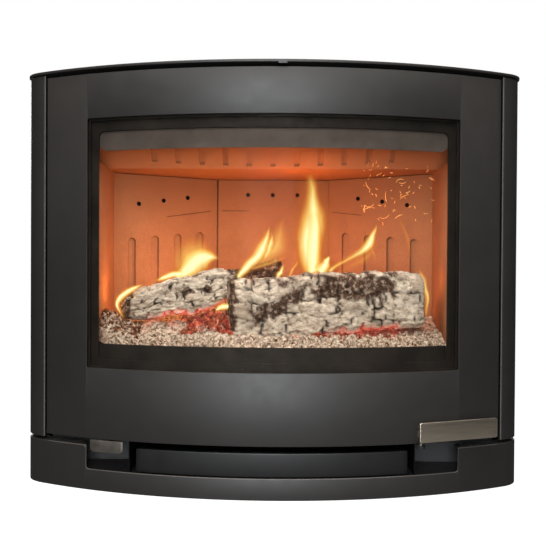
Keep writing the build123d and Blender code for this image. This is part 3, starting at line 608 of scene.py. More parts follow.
def run_on(offset):
    """Carry the open section straight on."""
    bpy.ops.mesh.extrude_region_move(TRANSFORM_OT_translate={"value": offset})


def turn_on(centre, angle, steps):
    """Carry the open section round an upright axis, anticlockwise from above."""
    bpy.ops.mesh.spin(steps=steps, angle=-angle, center=centre, axis=(0, 0, 1))


def bow_sheet(name, cells, left, right, steps=BOW_STEPS):
    """Folded sheet that follows the curved front between two sideways positions."""
    start = math.asin(left / FRONT_RADIUS)
    turn = math.asin(right / FRONT_RADIUS) - start
    inward = Vector((-math.sin(start), math.cos(start), 0))
    origin = Vector((0, BOW_CENTRE, 0)) - inward * FRONT_RADIUS
    piece = section(name, cells, origin, inward)
    turn_on((0, BOW_CENTRE, 0), turn, steps)
    close_up(piece)
    return piece


CORNER_X = BODY_HALF - CORNER_RADIUS
CORNER_Y = BOW_CENTRE - math.sqrt((FRONT_RADIUS - CORNER_RADIUS) ** 2 - CORNER_X**2)
CORNER_TURN = math.asin(CORNER_X / (FRONT_RADIUS - CORNER_RADIUS))


def side_to_corner(name, cells, rear):
    """Start a folded sheet at the rear of the right side and bring it round the front corner."""
    piece = section(name, cells, Vector((BODY_HALF, back(rear), 0)), Vector((-1, 0, 0)))
    run_on((0, CORNER_Y - back(rear), 0))
    turn_on((CORNER_X, CORNER_Y, 0), CORNER_TURN - math.pi / 2, CORNER_STEPS)
    return piece


def bow_to_side(rear):
    """Carry a sheet on along the bow, round the left corner and back along the left side."""
    turn_on((0, BOW_CENTRE, 0), -2 * CORNER_TURN, BOW_STEPS)
    turn_on((-CORNER_X, CORNER_Y, 0), CORNER_TURN - math.pi / 2, CORNER_STEPS)
    run_on((0, back(rear) - CORNER_Y, 0))


def finished(piece, body, slot, *nodes, finish=None):
    """Give a new piece its body and its finish, its own or else its slot's, and hide the nodes that it stands
    for.
    """
    piece.data.materials.clear()
    piece.data.materials.append(finish or FINISHES[slot])
    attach(piece, body)
    if nodes:
        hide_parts(*nodes)


def wear_and_highlight(piece, test):
    """Painted highlight: give the faces that pass a test a much lighter copy of the paint, standing for the
    highlight that a rounded edge catches.
    """
    piece.data.materials.append(EDGE_HIGHLIGHT_PAINT)
    edit()
    choose("faces", test)
    piece.active_material_index = 1
    bpy.ops.object.material_slot_assign()
    leave_edit()


# Casing.

SHEET = 0.002
STEEL = 0.003
PANEL_LOW = 0.056
PANEL_HIGH = 0.4823
PANEL_EDGE = 0.269
PANEL_FOLD = 0.014
PANEL_RETURN = 0.0105
PANEL_BEND = 0.0023
SKIRT_SHEET = 0.003
SKIRT_HIGH = 0.052
RECESS_HALF = 0.214
RECESS_LOW = 0.0245
RECESS_CORNER = 0.003
SKIRT_FOLD = 0.021
TOP_SHEET = 0.003
TOP_BACK = 0.380
OVERHANG = 0.002
FLUE_HOLE = 0.080
FLUE_DEPTH = 0.225
# Cutters start in front of the whole body, end behind the door and stand out above an open top.
PAST_FRONT = -0.05
PAST_DOOR = 0.15
PAST_TOP = 0.02


def side_panels():
    """Side panel of folded sheet: up the side, round the corner, with a painted highlight on its folded edge
    at the door.
    """
    cells = [
        (SHEET, PANEL_FOLD, PANEL_LOW, PANEL_LOW + SHEET),
        (0, SHEET, PANEL_LOW, PANEL_LOW + SHEET),
        (0, SHEET, PANEL_LOW + SHEET, PANEL_HIGH - SHEET),
        (0, SHEET, PANEL_HIGH - SHEET, PANEL_HIGH),
        (SHEET, PANEL_FOLD, PANEL_HIGH - SHEET, PANEL_HIGH),
    ]
    right = side_to_corner("right_side_cover", cells, CASING_BACK)
    turn_on((0, BOW_CENTRE, 0), math.asin(PANEL_EDGE / FRONT_RADIUS) - CORNER_TURN, 5)
    close_up(right)
    edit()
    for across, trimmed in ((PANEL_EDGE, True), (PANEL_EDGE + SHEET, False)):
        select_all()
        bpy.ops.mesh.bisect(plane_co=(across, 0, 0), plane_no=(1, 0, 0),
                            clear_inner=trimmed, use_fill=trimmed)
    bend = on_bow(PANEL_EDGE, 0, 0)
    choose("faces", lambda face: face.normal.y > 0.5 and middle(face).x < PANEL_EDGE + SHEET
           and middle(face).y < bend.y + 0.005)
    run_on((0, PANEL_RETURN, 0))
    close_up(right)
    edit()
    choose("edges", lambda edge: all((corner.co.xy - bend.xy).length < 0.0001 for corner in edge.verts))
    bpy.ops.mesh.bevel(offset=PANEL_BEND, segments=5, affect="EDGES")
    leave_edit()
    pick(right)
    bpy.ops.object.duplicate()
    left = bpy.context.object
    left.name = "left_side_cover"
    left.scale.x = -1
    settle(left)
    close_up(left)
    for piece, node in ((right, "right_side_panel"), (left, "left_side_panel")):
        soften(piece)
        finished(piece, "stove", "casing_paint", node)
        # Painted highlight on the bend of the folded front edge.
        wear_and_highlight(piece, lambda face: abs(middle(face).x) < PANEL_EDGE + 0.0024 and face.normal.y < 0.3
             and middle(face).y < bend.y + 0.0026)


def top_plate():
    """Top plate of thick sheet: its edge is run right round the body, and the two faces are filled in."""
    side = BODY_HALF + OVERHANG
    strip = [(0, 0.01, BODY_HEIGHT - TOP_SHEET, BODY_HEIGHT)]
    piece = section("top_cover", strip, Vector((side, back(TOP_BACK), 0)), Vector((-1, 0, 0)))
    choose("edges", lambda edge: all(corner.co.x < side - 0.005 for corner in edge.verts))
    bpy.ops.mesh.delete(type="VERT")
    select_all()
    run_on((0, CORNER_Y - back(TOP_BACK), 0))
    turn_on((CORNER_X, CORNER_Y, 0), CORNER_TURN - math.pi / 2, CORNER_STEPS)
    bow_to_side(TOP_BACK)
    run_on((2 * side, 0, 0))
    weld()
    bpy.ops.mesh.fill_holes(sides=0)
    close_up(piece)
    deselect()
    middle_of_flue = spot(0, FLUE_DEPTH, BODY_HEIGHT)
    bpy.ops.mesh.primitive_cylinder_add(vertices=96, radius=FLUE_HOLE, depth=0.05, location=middle_of_flue)
    cut(piece, bpy.context.object)
    soften(piece, 0.0005)
    finished(piece, "stove", "casing_paint", "top_plate")


def base_skirt():
    """Base skirt: one folded sheet round three sides, with the opening for drawer, lever and hands."""
    cells = [
        (0, SKIRT_SHEET, 0, SKIRT_HIGH - SKIRT_SHEET),
        (0, SKIRT_SHEET, SKIRT_HIGH - SKIRT_SHEET, SKIRT_HIGH),
        (SKIRT_SHEET, SKIRT_FOLD, SKIRT_HIGH - SKIRT_SHEET, SKIRT_HIGH),
    ]
    piece = side_to_corner("base_cover", cells, CASING_BACK)
    bow_to_side(CASING_BACK)
    close_up(piece)
    opening = (-RECESS_HALF, RECESS_HALF, PAST_FRONT, PAST_DOOR, RECESS_LOW, SKIRT_HIGH + PAST_TOP)
    cut(piece, slab("opening", *opening, corner=RECESS_CORNER))
    soften(piece, 0.0009, segments=3)
    finished(piece, "stove", "casing_paint", "base_skirt")
    # Painted highlight on the small rounded edges of the opening and the top that face up or sideways.
    wear_and_highlight(piece, lambda face: face.normal.y < -0.2 and face.calc_area() < 0.000012
         and 0.15 < max(face.normal.z, -face.normal.x, face.normal.x * (middle(face).x < 0)) < 0.95
         and middle(face).z > up(0.015) and abs(middle(face).x) < RECESS_HALF + 0.05)


# Door, drawer and lever.

DOOR_SHEET = 0.004
DOOR_CORNER = 0.0027
WINDOW_CORNER = 0.002
GLASS_LAP = 0.008
GLASS_INSET = 0.006
GLASS = 0.004
DRAWER_HALF = 0.1555
DRAWER_LOW = 0.025
DRAWER_HIGH = 0.0515
DRAWER_TOP = 0.050
DRAWER_INSET = 0.005
DRAWER_SHEET = 0.0025
DRAWER_FOLD = 0.013
TAB_LEFT = -0.2095
TAB_RIGHT = -0.1695
TAB_LOW = 0.0447
TAB_HIGH = 0.0585
TAB_CORNER = 0.0045
TAB_TRIM = 0.0005
STEM_SIDES = (-0.1955, -0.1835)
STEM_LOW = 0.052
STEM_HIGH = 0.0677
STEM_FRONT = 0.0415
STEM_BEND = 0.1665
STEM_REAR = 0.190


def door_cover():
    """Door of thick sheet, rolled to the bow, with the window cut out."""
    piece = bow_sheet("door_cover", [(0, DOOR_SHEET, DOOR_LOW, DOOR_HIGH)], -DOOR_HALF, DOOR_HALF)
    outline = (-DOOR_HALF - 0.001, DOOR_HALF + 0.001, PAST_FRONT, PAST_DOOR, DOOR_LOW, DOOR_HIGH)
    cut(piece, slab("outline", *outline, corner=DOOR_CORNER), "INTERSECT")
    window = (-WINDOW_HALF, WINDOW_HALF, PAST_FRONT, PAST_DOOR, WINDOW_LOW, WINDOW_HIGH)
    cut(piece, slab("window", *window, corner=WINDOW_CORNER))
    soften(piece)
    finished(piece, "door", "casing_paint", "door_plate")


def door_window():
    cells = [(GLASS_INSET, GLASS_INSET + GLASS, WINDOW_LOW - GLASS_LAP, WINDOW_HIGH + GLASS_LAP)]
    piece = bow_sheet("door_window", cells, -WINDOW_HALF - GLASS_LAP, WINDOW_HALF + GLASS_LAP)
    soften(piece, 0.0005)
    finished(piece, "door", "window_glass", "door_glass")


def drawer_face():
    inner = DRAWER_INSET + DRAWER_SHEET
    cells = [
        (DRAWER_INSET, inner, DRAWER_LOW, DRAWER_TOP),
        (DRAWER_INSET, inner, DRAWER_TOP, DRAWER_HIGH),
        (inner, DRAWER_FOLD, DRAWER_TOP, DRAWER_HIGH),
    ]
    piece = bow_sheet("drawer_face", cells, -DRAWER_HALF, DRAWER_HALF, steps=56)
    soften(piece)
    # The drawer face takes the painted-shade copy of the casing paint.
    finished(piece, "drawer", "casing_paint", "ash_drawer_front", finish=PAINTED_SHADE_PAINT)


def lever_cover():
    """Air lever: a bowed tab with round lower corners, on a flat stem that rises to the damper."""
    blank = [(0, STEEL, TAB_LOW - TAB_TRIM, TAB_HIGH)]
    tab = bow_sheet("lever_cover", blank, TAB_LEFT - TAB_TRIM, TAB_RIGHT + TAB_TRIM, steps=12)
    outline = (TAB_LEFT, TAB_RIGHT, PAST_FRONT, PAST_DOOR, TAB_LOW, TAB_HIGH + PAST_TOP)
    cut(tab, slab("outline", *outline, corner=TAB_CORNER), "INTERSECT")
    soften(tab)
    stem = slab("stem", *STEM_SIDES, STEM_FRONT, STEM_BEND, STEM_LOW, STEM_LOW + STEEL)
    riser = slab("riser", *STEM_SIDES, STEM_BEND - STEEL, STEM_BEND, STEM_LOW + STEEL, STEM_HIGH)
    foot = slab("foot", *STEM_SIDES, STEM_BEND, STEM_REAR, STEM_HIGH - STEEL, STEM_HIGH)
    piece = join([tab, stem, riser, foot], "lever_cover")
    finished(piece, "lever", "casing_paint", "air_lever", finish=DULL_STEEL)


# Handle, in plan from its left to its right end, and the pin that it turns on.
HANDLE_START = Vector((0.166, 0.0153))
HANDLE_RUN = Vector((0.262, 0.06003)) - HANDLE_START
HANDLE_HEIGHTS = (0.0625, 0.085)
HANDLE_CORNER = 0.0024
PIN = Vector((0.168, 0.02395))
KNUCKLE = (0.0688, 0.0757)
KNUCKLE_RADIUS = 0.0036
WEB = 0.0046


def lay_along_handle(piece, place):
    """Turn a block into the handle's direction, with its own front left corner line at a place in plan."""
    piece.data.transform(Matrix.Translation((0, BODY_DEPTH, 0)))
    piece.rotation_euler.z = math.atan2(HANDLE_RUN.y, HANDLE_RUN.x)
    piece.location = (place.x, back(place.y), 0)
    settle(piece)


def handle_cover():
    """Handle: a flat steel plate with rounded corners, on a knuckle that turns on the pin."""
    plate = slab("handle_cover", 0, HANDLE_RUN.length, 0, STEEL, *HANDLE_HEIGHTS, corner=HANDLE_CORNER)
    lay_along_handle(plate, HANDLE_START)
    soften(plate, segments=3, limit=50)
    deselect()
    bpy.ops.mesh.primitive_cylinder_add(vertices=32, radius=KNUCKLE_RADIUS, depth=KNUCKLE[1] - KNUCKLE[0],
                                        location=spot(*PIN, sum(KNUCKLE) / 2))
    knuckle = bpy.context.object
    web = slab("web", -KNUCKLE_RADIUS, KNUCKLE_RADIUS, -WEB, 0, *KNUCKLE)
    lay_along_handle(web, PIN)
    piece = join([plate, knuckle, web], "handle_cover")
    settle(piece)
    finished(piece, "handle", "handle_steel", "door_handle")


def wire(name, radius, roundness, routes, closed=False, tip=1):
    """Round wires along routes of points, as one mesh; tip is how thick their ends are."""
    curve = bpy.data.curves.new(name, "CURVE")
    curve.dimensions = "3D"
    curve.bevel_depth = radius
    curve.bevel_resolution = roundness
    for route in routes:
        spline = curve.splines.new("POLY")
        spline.points.add(len(route) - 1)
        spline.use_cyclic_u = closed
        for number, (point, place) in enumerate(zip(spline.points, route)):
            point.co = (*place, 1)
            point.radius = tip if number in (0, len(route) - 1) else 1
    piece = bpy.data.objects.new(name, curve)
    show(piece)
    pick(piece)
    bpy.ops.object.convert(target="MESH")
    return piece


def bowed_ring(half, low, high, corner, inset):
    """Points of a rounded rectangle that lies on the bow."""
    points = []
    low, high = low + corner, high - corner
    for quarter, (side, centre) in enumerate(((1, high), (-1, high), (-1, low), (1, low))):
        for step in range(7):
            angle = math.radians(90 * quarter + 15 * step)
            across = side * (half - corner) + corner * math.cos(angle)
            points.append(on_bow(across, inset, centre + corner * math.sin(angle)))
    return points


def ring_seal(name, half, low, high, corner, inset, thickness, node):
    """Seal laid round the door in its channel, with the corners turned as the rope turns."""
    corners = bowed_ring(half, low, high, corner, inset)
    route = []
    for first, second in zip(corners, corners[1:] + corners[:1]):
        steps = max(1, round((second - first).length / 0.02))
        for step in range(steps):
            place = first.lerp(second, step / steps)
            route.append(on_bow(place.x, inset, place.z + BRACKET_HEIGHT))
    seal = wire(name, thickness / 2, 3, [route], closed=True)
    close_up(seal)
    bpy.ops.object.shade_smooth()
    finished(seal, "door", "rope", node)


# The fire inside, as it burns in the picture. It is dressing: nothing of it is part of the stove.


def keep_on(piece, **kept):
    """Store values on the piece's points for its finish to read."""
    for name, values in kept.items():
        piece.data.attributes.new(name, "FLOAT", "POINT").data.foreach_set("value", values)


def smooth(low, high, value):
    share = min(1, max(0, (value - low) / (high - low)))
    return share * share * (3 - 2 * share)


def along(rows, value):
    """Read a table of rows at a value of their first column."""
    for first, second in zip(rows, rows[1:]):
        if value <= second[0]:
            break
    share = min(1, max(0, (value - first[0]) / (second[0] - first[0])))
    return [a + (b - a) * share for a, b in zip(first, second)]


def chance(*numbers):
    """Steady number from 0 to 1 for a place in a pattern."""
    return noise.cell(Vector([number * 7.13 + 0.5 for number in (*numbers, 0, 0)][:3]))


def uneven(at, scale=1, *shift):
    """Height of a random pattern at a place."""
    return noise.noise(Vector(at) * scale + Vector(shift or (0, 0, 0)))


def split_blocks(run, girth, row_height, spacing, seed):
    """How deep in a crack a point of burnt wood is, how near its block's edge, and the block's own number."""
    place = Vector((run, girth, seed))
    run += 0.0065 * uneven(place, 42) + 0.0022 * uneven(place, 150)
    girth += 0.0075 * uneven(place, 33, 5, 0, 0) + 0.0020 * uneven(place, 170)
    row = math.floor(girth / row_height)
    to_row = min(girth / row_height - row, row + 1 - girth / row_height) * row_height
    column = run / spacing + 3.7 * chance(row, seed)
    block = math.floor(column)
    edges = [step + 0.8 * (chance(step, row, seed) - 0.5) for step in range(block - 1, block + 3)]
    to_cross = min(abs(column - edge) for edge in edges) * spacing
    block = sum(column > edge for edge in edges) + block
    open_here = uneven(place, 60, 0, 0, 4)
    width = 0.0004 + 0.0024 * max(0, open_here + 0.05)
    to_row += 0.0035 * max(0, uneven(place, 48, 0, 9, 0) + 0.12)
    near = min(to_row, to_cross, math.hypot(to_row, to_cross) * 0.62)
    split = smooth(-0.20, 0.12, open_here + 0.5 * uneven(place, 130))
    return split * (1 - smooth(width * 0.4, width * 1.6 + 0.0003, near)), near, chance(block, row, seed + 2)


LOG_SECTION = ((-1, -0.72), (-1, 0.55), (-0.9, 0.86), (-0.62, 1), (0.5, 0.92), (0.95, 0.5), (0.9, -0.7),
               (0.55, -1), (-0.8, -1))
# A log's ends are built of rings, as shares of its radius; the girth is for the pattern of cracks.
END_RINGS = 14
END_RING = 0.066
END_FACE = 0.98
GIRTH = 0.24


def section_point(share):
    """Point on the outline of a split log's end, at a share of the way round it."""
    corners = [Vector(corner) for corner in LOG_SECTION]
    sides = [(second - first).length for first, second in zip(corners, corners[1:] + corners[:1])]
    left = (share % 1) * sum(sides)
    for number, side in enumerate(sides):
        if left <= side:
            return corners[number].lerp(corners[(number + 1) % len(corners)], left / side)
        left -= side
    return corners[0]


def burning_log(name, rows, slant, block, char_at, glow_at, seed, rounds=200, rings=190):
    """Split log burnt to blocks of a height and a length.

    Rows: sideways position, top, bottom, front and rear. Slant: how far each end leans.
    """
    deselect()
    bpy.ops.mesh.primitive_cylinder_add(vertices=rounds, radius=1, depth=1)
    log = bpy.context.object
    log.name = name
    edit()
    choose("edges", lambda edge: abs(edge.verts[0].co.z - edge.verts[1].co.z) > 0.5)
    bpy.ops.mesh.subdivide(number_cuts=rings)
    for _ in range(END_RINGS):
        choose("faces", lambda face: len(face.verts) > 4)
        bpy.ops.mesh.inset(thickness=END_RING)
    leave_edit()
    outline = [section_point((number + 0.5) / rounds) for number in range(rounds)]
    rows = [[measure * MM for measure in row] for row in rows]
    start, end = rows[0][0], rows[-1][0]
    cracks, tones, chars, glows = [], [], [], []
    for corner in log.data.vertices:
        radius = math.hypot(corner.co.x, corner.co.y)
        turn = math.atan2(corner.co.y, corner.co.x) / (2 * math.pi) % 1
        side = outline[round(turn * rounds) % rounds]
        share = corner.co.z + 0.5
        across = start + (end - start) * share
        _, top, bottom, front, rear = along(rows, across)
        crack, near, tone = split_blocks(across, turn * GIRTH, *block, seed)
        on_end = radius < END_FACE
        if on_end:
            crack = 0.6 * smooth(0.5, 0.62, abs(uneven((side.x * 2, side.y * 2, seed)) * 2))
            near = 0.002
        swell = uneven((across * 30, side.y * 1.4, side.x * 1.4 + seed))
        crust = noise.fractal(Vector((across * 160, side.y * 7, side.x * 7 + seed)), 0.8, 2.1, 4)
        lump = (0.0030 * swell + 0.0012 * crust + 0.0020 * (tone - 0.5)
                - 0.0026 * crack - 0.0010 * (1 - smooth(0, 0.004, near)))
        height = (top + bottom) / 2 + (top - bottom) / 2 * side.y * radius + lump * side.y
        depth = (front + rear) / 2 + (rear - front) / 2 * side.x * radius + lump * side.x
        lean = smooth(0.12, 0, share) * slant[0] - smooth(0.88, 1, share) * slant[1]
        across -= lean * (side.x * radius + 1) / 2
        if on_end:
            across -= 0.002 * uneven(side.to_3d() * 3 * radius)
        corner.co = spot(across, depth, height)
        stray = [0.007 * uneven(corner.co, 55, seed, step, 0) + 0.003 * uneven(corner.co, 190, step, seed, 0)
                 for step in (3, 8)]
        char = char_at(across + stray[0], height + stray[1]) + 0.55 * uneven(corner.co, 110, seed, 0, 0)
        char = smooth(0.40, 0.85, char)
        if on_end:
            char = smooth(-0.25, 0.15, uneven((side.x * radius * 7, side.y * radius * 1.6, seed)))
        cracks.append(crack * smooth(1.2, 0.2, char * 0.6))
        tones.append(tone)
        chars.append(char)
        glows.append(glow_at(across) * smooth(-0.78, -1, side.y + 0.25 * uneven(corner.co, 60)))
    keep_on(log, crack=cracks, block=tones, char=chars, glow=glows)
    close_up(log)
    bpy.ops.object.shade_smooth()
    finished(log, "stove", "grate_iron", finish=BURNT_WOOD)


def bow_depth(across):
    """How far the curved front lies back at a sideways position."""
    return FRONT_RADIUS - math.sqrt(FRONT_RADIUS**2 - across**2)


ASH_LEVEL = 0.1635
ASH_SLOPE = 0.21
ASH_FRONT = 0.0335
ASH_REAR = 0.270
ASH_HALF = 0.2065
ASH_HALF_REAR = 0.0965
ASH_THICKNESS = 0.014
HEAP_AT = (-0.205, 0.105)
EMBERS_AT = (-0.074, 0.125)


def ash_height(across, depth):
    """Height of the ash at a place, and how much it glows and how dark it is there."""
    height = ASH_LEVEL + ASH_SLOPE * max(0, depth - bow_depth(across) * 0.6 - 0.034)
    left_heap = smooth(0.055, 0.0, math.hypot(across - HEAP_AT[0], (depth - HEAP_AT[1]) * 0.8))
    off_embers = math.hypot((across - EMBERS_AT[0]) * 1.15, (depth - EMBERS_AT[1]) * 1.1)
    embers = smooth(0.048, 0.014, off_embers)
    seam = smooth(0.016, 0.004, abs(depth - 0.118)) * smooth(-0.172, -0.150, across)
    embers = max(embers, 0.7 * seam * smooth(-0.06, -0.10, across))
    under_right = smooth(0.10, 0.04, abs(across - 0.095)) * smooth(0.030, 0.012, abs(depth - 0.105))
    height += 0.026 * left_heap + 0.016 * embers
    rough = noise.fractal(Vector((across * 60, depth * 60, 3)), 0.9, 2.1, 5)
    return height + 0.0042 * rough, max(embers, 0.75 * under_right, 0.06 * left_heap), left_heap


def ash_bed():
    deselect()
    bpy.ops.mesh.primitive_grid_add(x_subdivisions=320, y_subdivisions=160, size=2)
    bed = bpy.context.object
    bed.name = "ash_bed"
    chars, glows = [], []
    for corner in bed.data.vertices:
        share = (corner.co.y + 1) / 2
        across = corner.co.x * (ASH_HALF - (ASH_HALF - ASH_HALF_REAR) * smooth(0.6, 1, share))
        front = ASH_FRONT + bow_depth(across)
        depth = front + (ASH_REAR - front) * share
        height, glow, heap = ash_height(across, depth)
        corner.co = spot(across, depth, height)
        glows.append(0.95 * glow * smooth(-0.25, 0.35, uneven((across * 70, depth * 70, 8))))
        chars.append(min(1, 0.75 * heap + glow * 0.9))
    keep_on(bed, char=chars, glow=glows)
    edit()
    choose("edges", lambda edge: edge.is_boundary)
    run_on((0, 0, -ASH_THICKNESS))
    leave_edit()
    bpy.ops.object.shade_smooth()
    finished(bed, "stove", "grate_iron", finish=ASH_CRUMBS)


# Loose crumbs: name, count, left, right, front and rear end of where they lie, size, seed of the
# draw, glow and darkness. Crumbs that start near the front follow its bow.
CRUMBS = (
    ("ash_chips", 1500, -0.200, 0.200, 0.037, 0.080, 0.0044, 21, 0, 0.10),
    ("coal_chips", 420, -0.203, -0.160, 0.040, 0.100, 0.0042, 22, 0, 1.1),
    ("dark_specks", 260, -0.200, 0.200, 0.036, 0.075, 0.0030, 25, 0, 1.4),
    ("left_embers", 240, -0.108, -0.046, 0.095, 0.128, 0.0062, 23, 0.85, 2),
    ("right_embers", 170, 0.045, 0.150, 0.082, 0.098, 0.0040, 24, 0.75, 2),
)
NEAR_FRONT = 0.05


def crumbs(name, count, sides, depths, size, seed, glow, dark):
    """Loose crumbs of ash and coal on the bed: one chip shape, turned, sized and bent at each place."""
    draw = random.Random(seed)
    deselect()
    bpy.ops.mesh.primitive_ico_sphere_add(subdivisions=1, radius=1)
    chip = bpy.context.object
    pieces = []
    for _ in range(count):
        across = draw.uniform(*sides)
        depth = draw.uniform(*depths) + bow_depth(across) * (depths[0] < NEAR_FRONT)
        height = ash_height(across, depth)[0]
        piece = chip.copy()
        piece.data = chip.data.copy()
        show(piece)
        wide = size * draw.uniform(0.45, 1.25)
        piece.scale = (wide, wide * draw.uniform(0.4, 1), wide * draw.uniform(0.25, 0.7))
        piece.rotation_euler = [draw.uniform(0, 6.3) for _ in range(3)]
        piece.location = spot(across, depth, height + wide * draw.uniform(0, 0.35))
        for corner in piece.data.vertices:
            corner.co *= draw.uniform(0.45, 1.35)
        hot = glow * draw.uniform(0.3, 1.3)
        corners = len(piece.data.vertices)
        keep_on(piece, glow=[hot] * corners, char=[min(1, dark * draw.uniform(0.2, 2))] * corners)
        pieces.append(piece)
    bpy.data.objects.remove(chip)
    heap = join(pieces, name)
    settle(heap)
    finished(heap, "stove", "grate_iron", finish=ASH_CRUMBS)


# Shares of a flame's length at which its line is read, to smooth its course.
EASE = (-0.12, -0.05, 0, 0.05, 0.12)


def flame(name, depth, path, wider=1.18):
    """Sheet of flame round a bent middle line. Path from foot to tip: sideways, height, width, heat."""
    deselect()
    bpy.ops.mesh.primitive_grid_add(x_subdivisions=14, y_subdivisions=60, size=2)
    sheet = bpy.context.object
    sheet.name = name
    table = [(number / (len(path) - 1), *row) for number, row in enumerate(path)]
    heats = []
    for corner in sheet.data.vertices:
        share, off_middle = (corner.co.y + 1) / 2, corner.co.x / 2
        before, *here, after = [along(table, min(1, max(0, share + shift))) for shift in EASE]
        _, across, height, width, heat = [sum(column) / len(here) for column in zip(*here)]
        heading = Vector((after[1] - before[1], after[2] - before[2])).normalized()
        reach = width * wider * off_middle
        waver = 1.2 * uneven((share * 5, corner.co.x, across / 20))
        belly = 6 * (1 - 4 * off_middle**2)
        across += heading.y * reach + waver
        height -= heading.x * reach
        corner.co = spot(across * MM, (depth - belly) * MM, height * MM)
        heats.append(heat)
    keep_on(sheet, burn=heats)
    bpy.ops.object.shade_smooth()
    finished(sheet, "stove", "window_glass", finish=FLAME_SHEET)


SPARKS = 74
SPARK_RADIUS = 0.00022


def sparks():
    """Flying sparks: short bent threads, and a longer trail now and then."""
    draw = random.Random(12)
    routes = []
    for number in range(SPARKS):
        across, height, depth = draw.uniform(112, 202), draw.uniform(314, 392), draw.uniform(120, 180)
        heading, bend = draw.uniform(0, 2 * math.pi), draw.uniform(-0.6, 0.6)
        length = draw.uniform(9, 16) if number % 9 == 0 else draw.uniform(1.5, 5)
        routes.append([])
        for step in range(4):
            routes[-1].append(spot(across * MM, depth * MM, height * MM))
            across += length / 3 * math.cos(heading + step * bend)
            height += length / 3 * math.sin(heading + step * bend)
    threads = wire("sparks", SPARK_RADIUS, 1, routes, tip=0.5)
    finished(threads, "stove", "window_glass", finish=SPARK_GLOW)


# Angled boards in plan, and the load line and air holes on them as distances from
# a board's front edge and heights.
BOARD_FRONT = spot(0.207, 0.200, 0)
BOARD_RUN = (spot(0.077, 0.280, 0) - BOARD_FRONT).normalized()
LINE_WIDTH = 0.0011
LOAD_LINE = (
    (-1, 0.077, 0.324, 0.1105, 0.329),
    (-1, 0.1105, 0.329, 0.143, 0.3335),
    (1, 0.102, 0.328, 0.1475, 0.333),
)
BACK_LINE = (-0.070, -0.033)
BACK_BOARD = 0.280
BACK_LINE_HIGH = 0.3345
AIR_HOLES = ((0.0355, 0.340), (0.0715, 0.3455), (0.1075, 0.3505))
HOLE_RADIUS = 0.0029


def on_board(side, from_front, height, proud=0):
    """Point on the right (1) or left (-1) angled board."""
    place = BOARD_FRONT + BOARD_RUN * from_front + Vector((-BOARD_RUN.y, BOARD_RUN.x, 0)) * proud
    return Vector((side * place.x, place.y, up(height)))


def load_line():
    """Line pressed into the boards up to which the wood may lie."""
    ends = [(on_board(side, first, low), on_board(side, second, high))
            for side, first, low, second, high in LOAD_LINE]
    ends.append([spot(across, BACK_BOARD, BACK_LINE_HIGH) for across in BACK_LINE])
    strips = []
    for first, second in ends:
        run = second - first
        deselect()
        bpy.ops.mesh.primitive_cube_add(size=1)
        strip = bpy.context.object
        strip.scale = (run.length, 0.0004, LINE_WIDTH)
        strip.rotation_euler = run.to_track_quat("X", "Z").to_euler()
        strip.location = (first + second) / 2
        settle(strip)
        soften(strip, 0.00015)
        strips.append(strip)
    finished(join(strips, "load_line"), "stove", "lining_board", finish=PRESSED_LINE)


def air_hole_shade():
    """Painted shade: black discs in the mouths of the air holes in the angled boards, standing for the dark
    inside the holes.
    """
    turn = math.atan2(BOARD_RUN.y, BOARD_RUN.x)
    discs = []
    for side in (-1, 1):
        for from_front, height in AIR_HOLES:
            deselect()
            bpy.ops.mesh.primitive_cylinder_add(vertices=12, radius=HOLE_RADIUS, depth=0.001)
            disc = bpy.context.object
            disc.rotation_euler = (math.pi / 2, 0, side * turn)
            disc.location = on_board(side, from_front, height, proud=0.0003)
            settle(disc)
            soften(disc, 0.0002)
            discs.append(disc)
    finished(join(discs, "air_hole_shade"), "stove", "lining_board", finish=PAINTED_SHADE_BLACK)


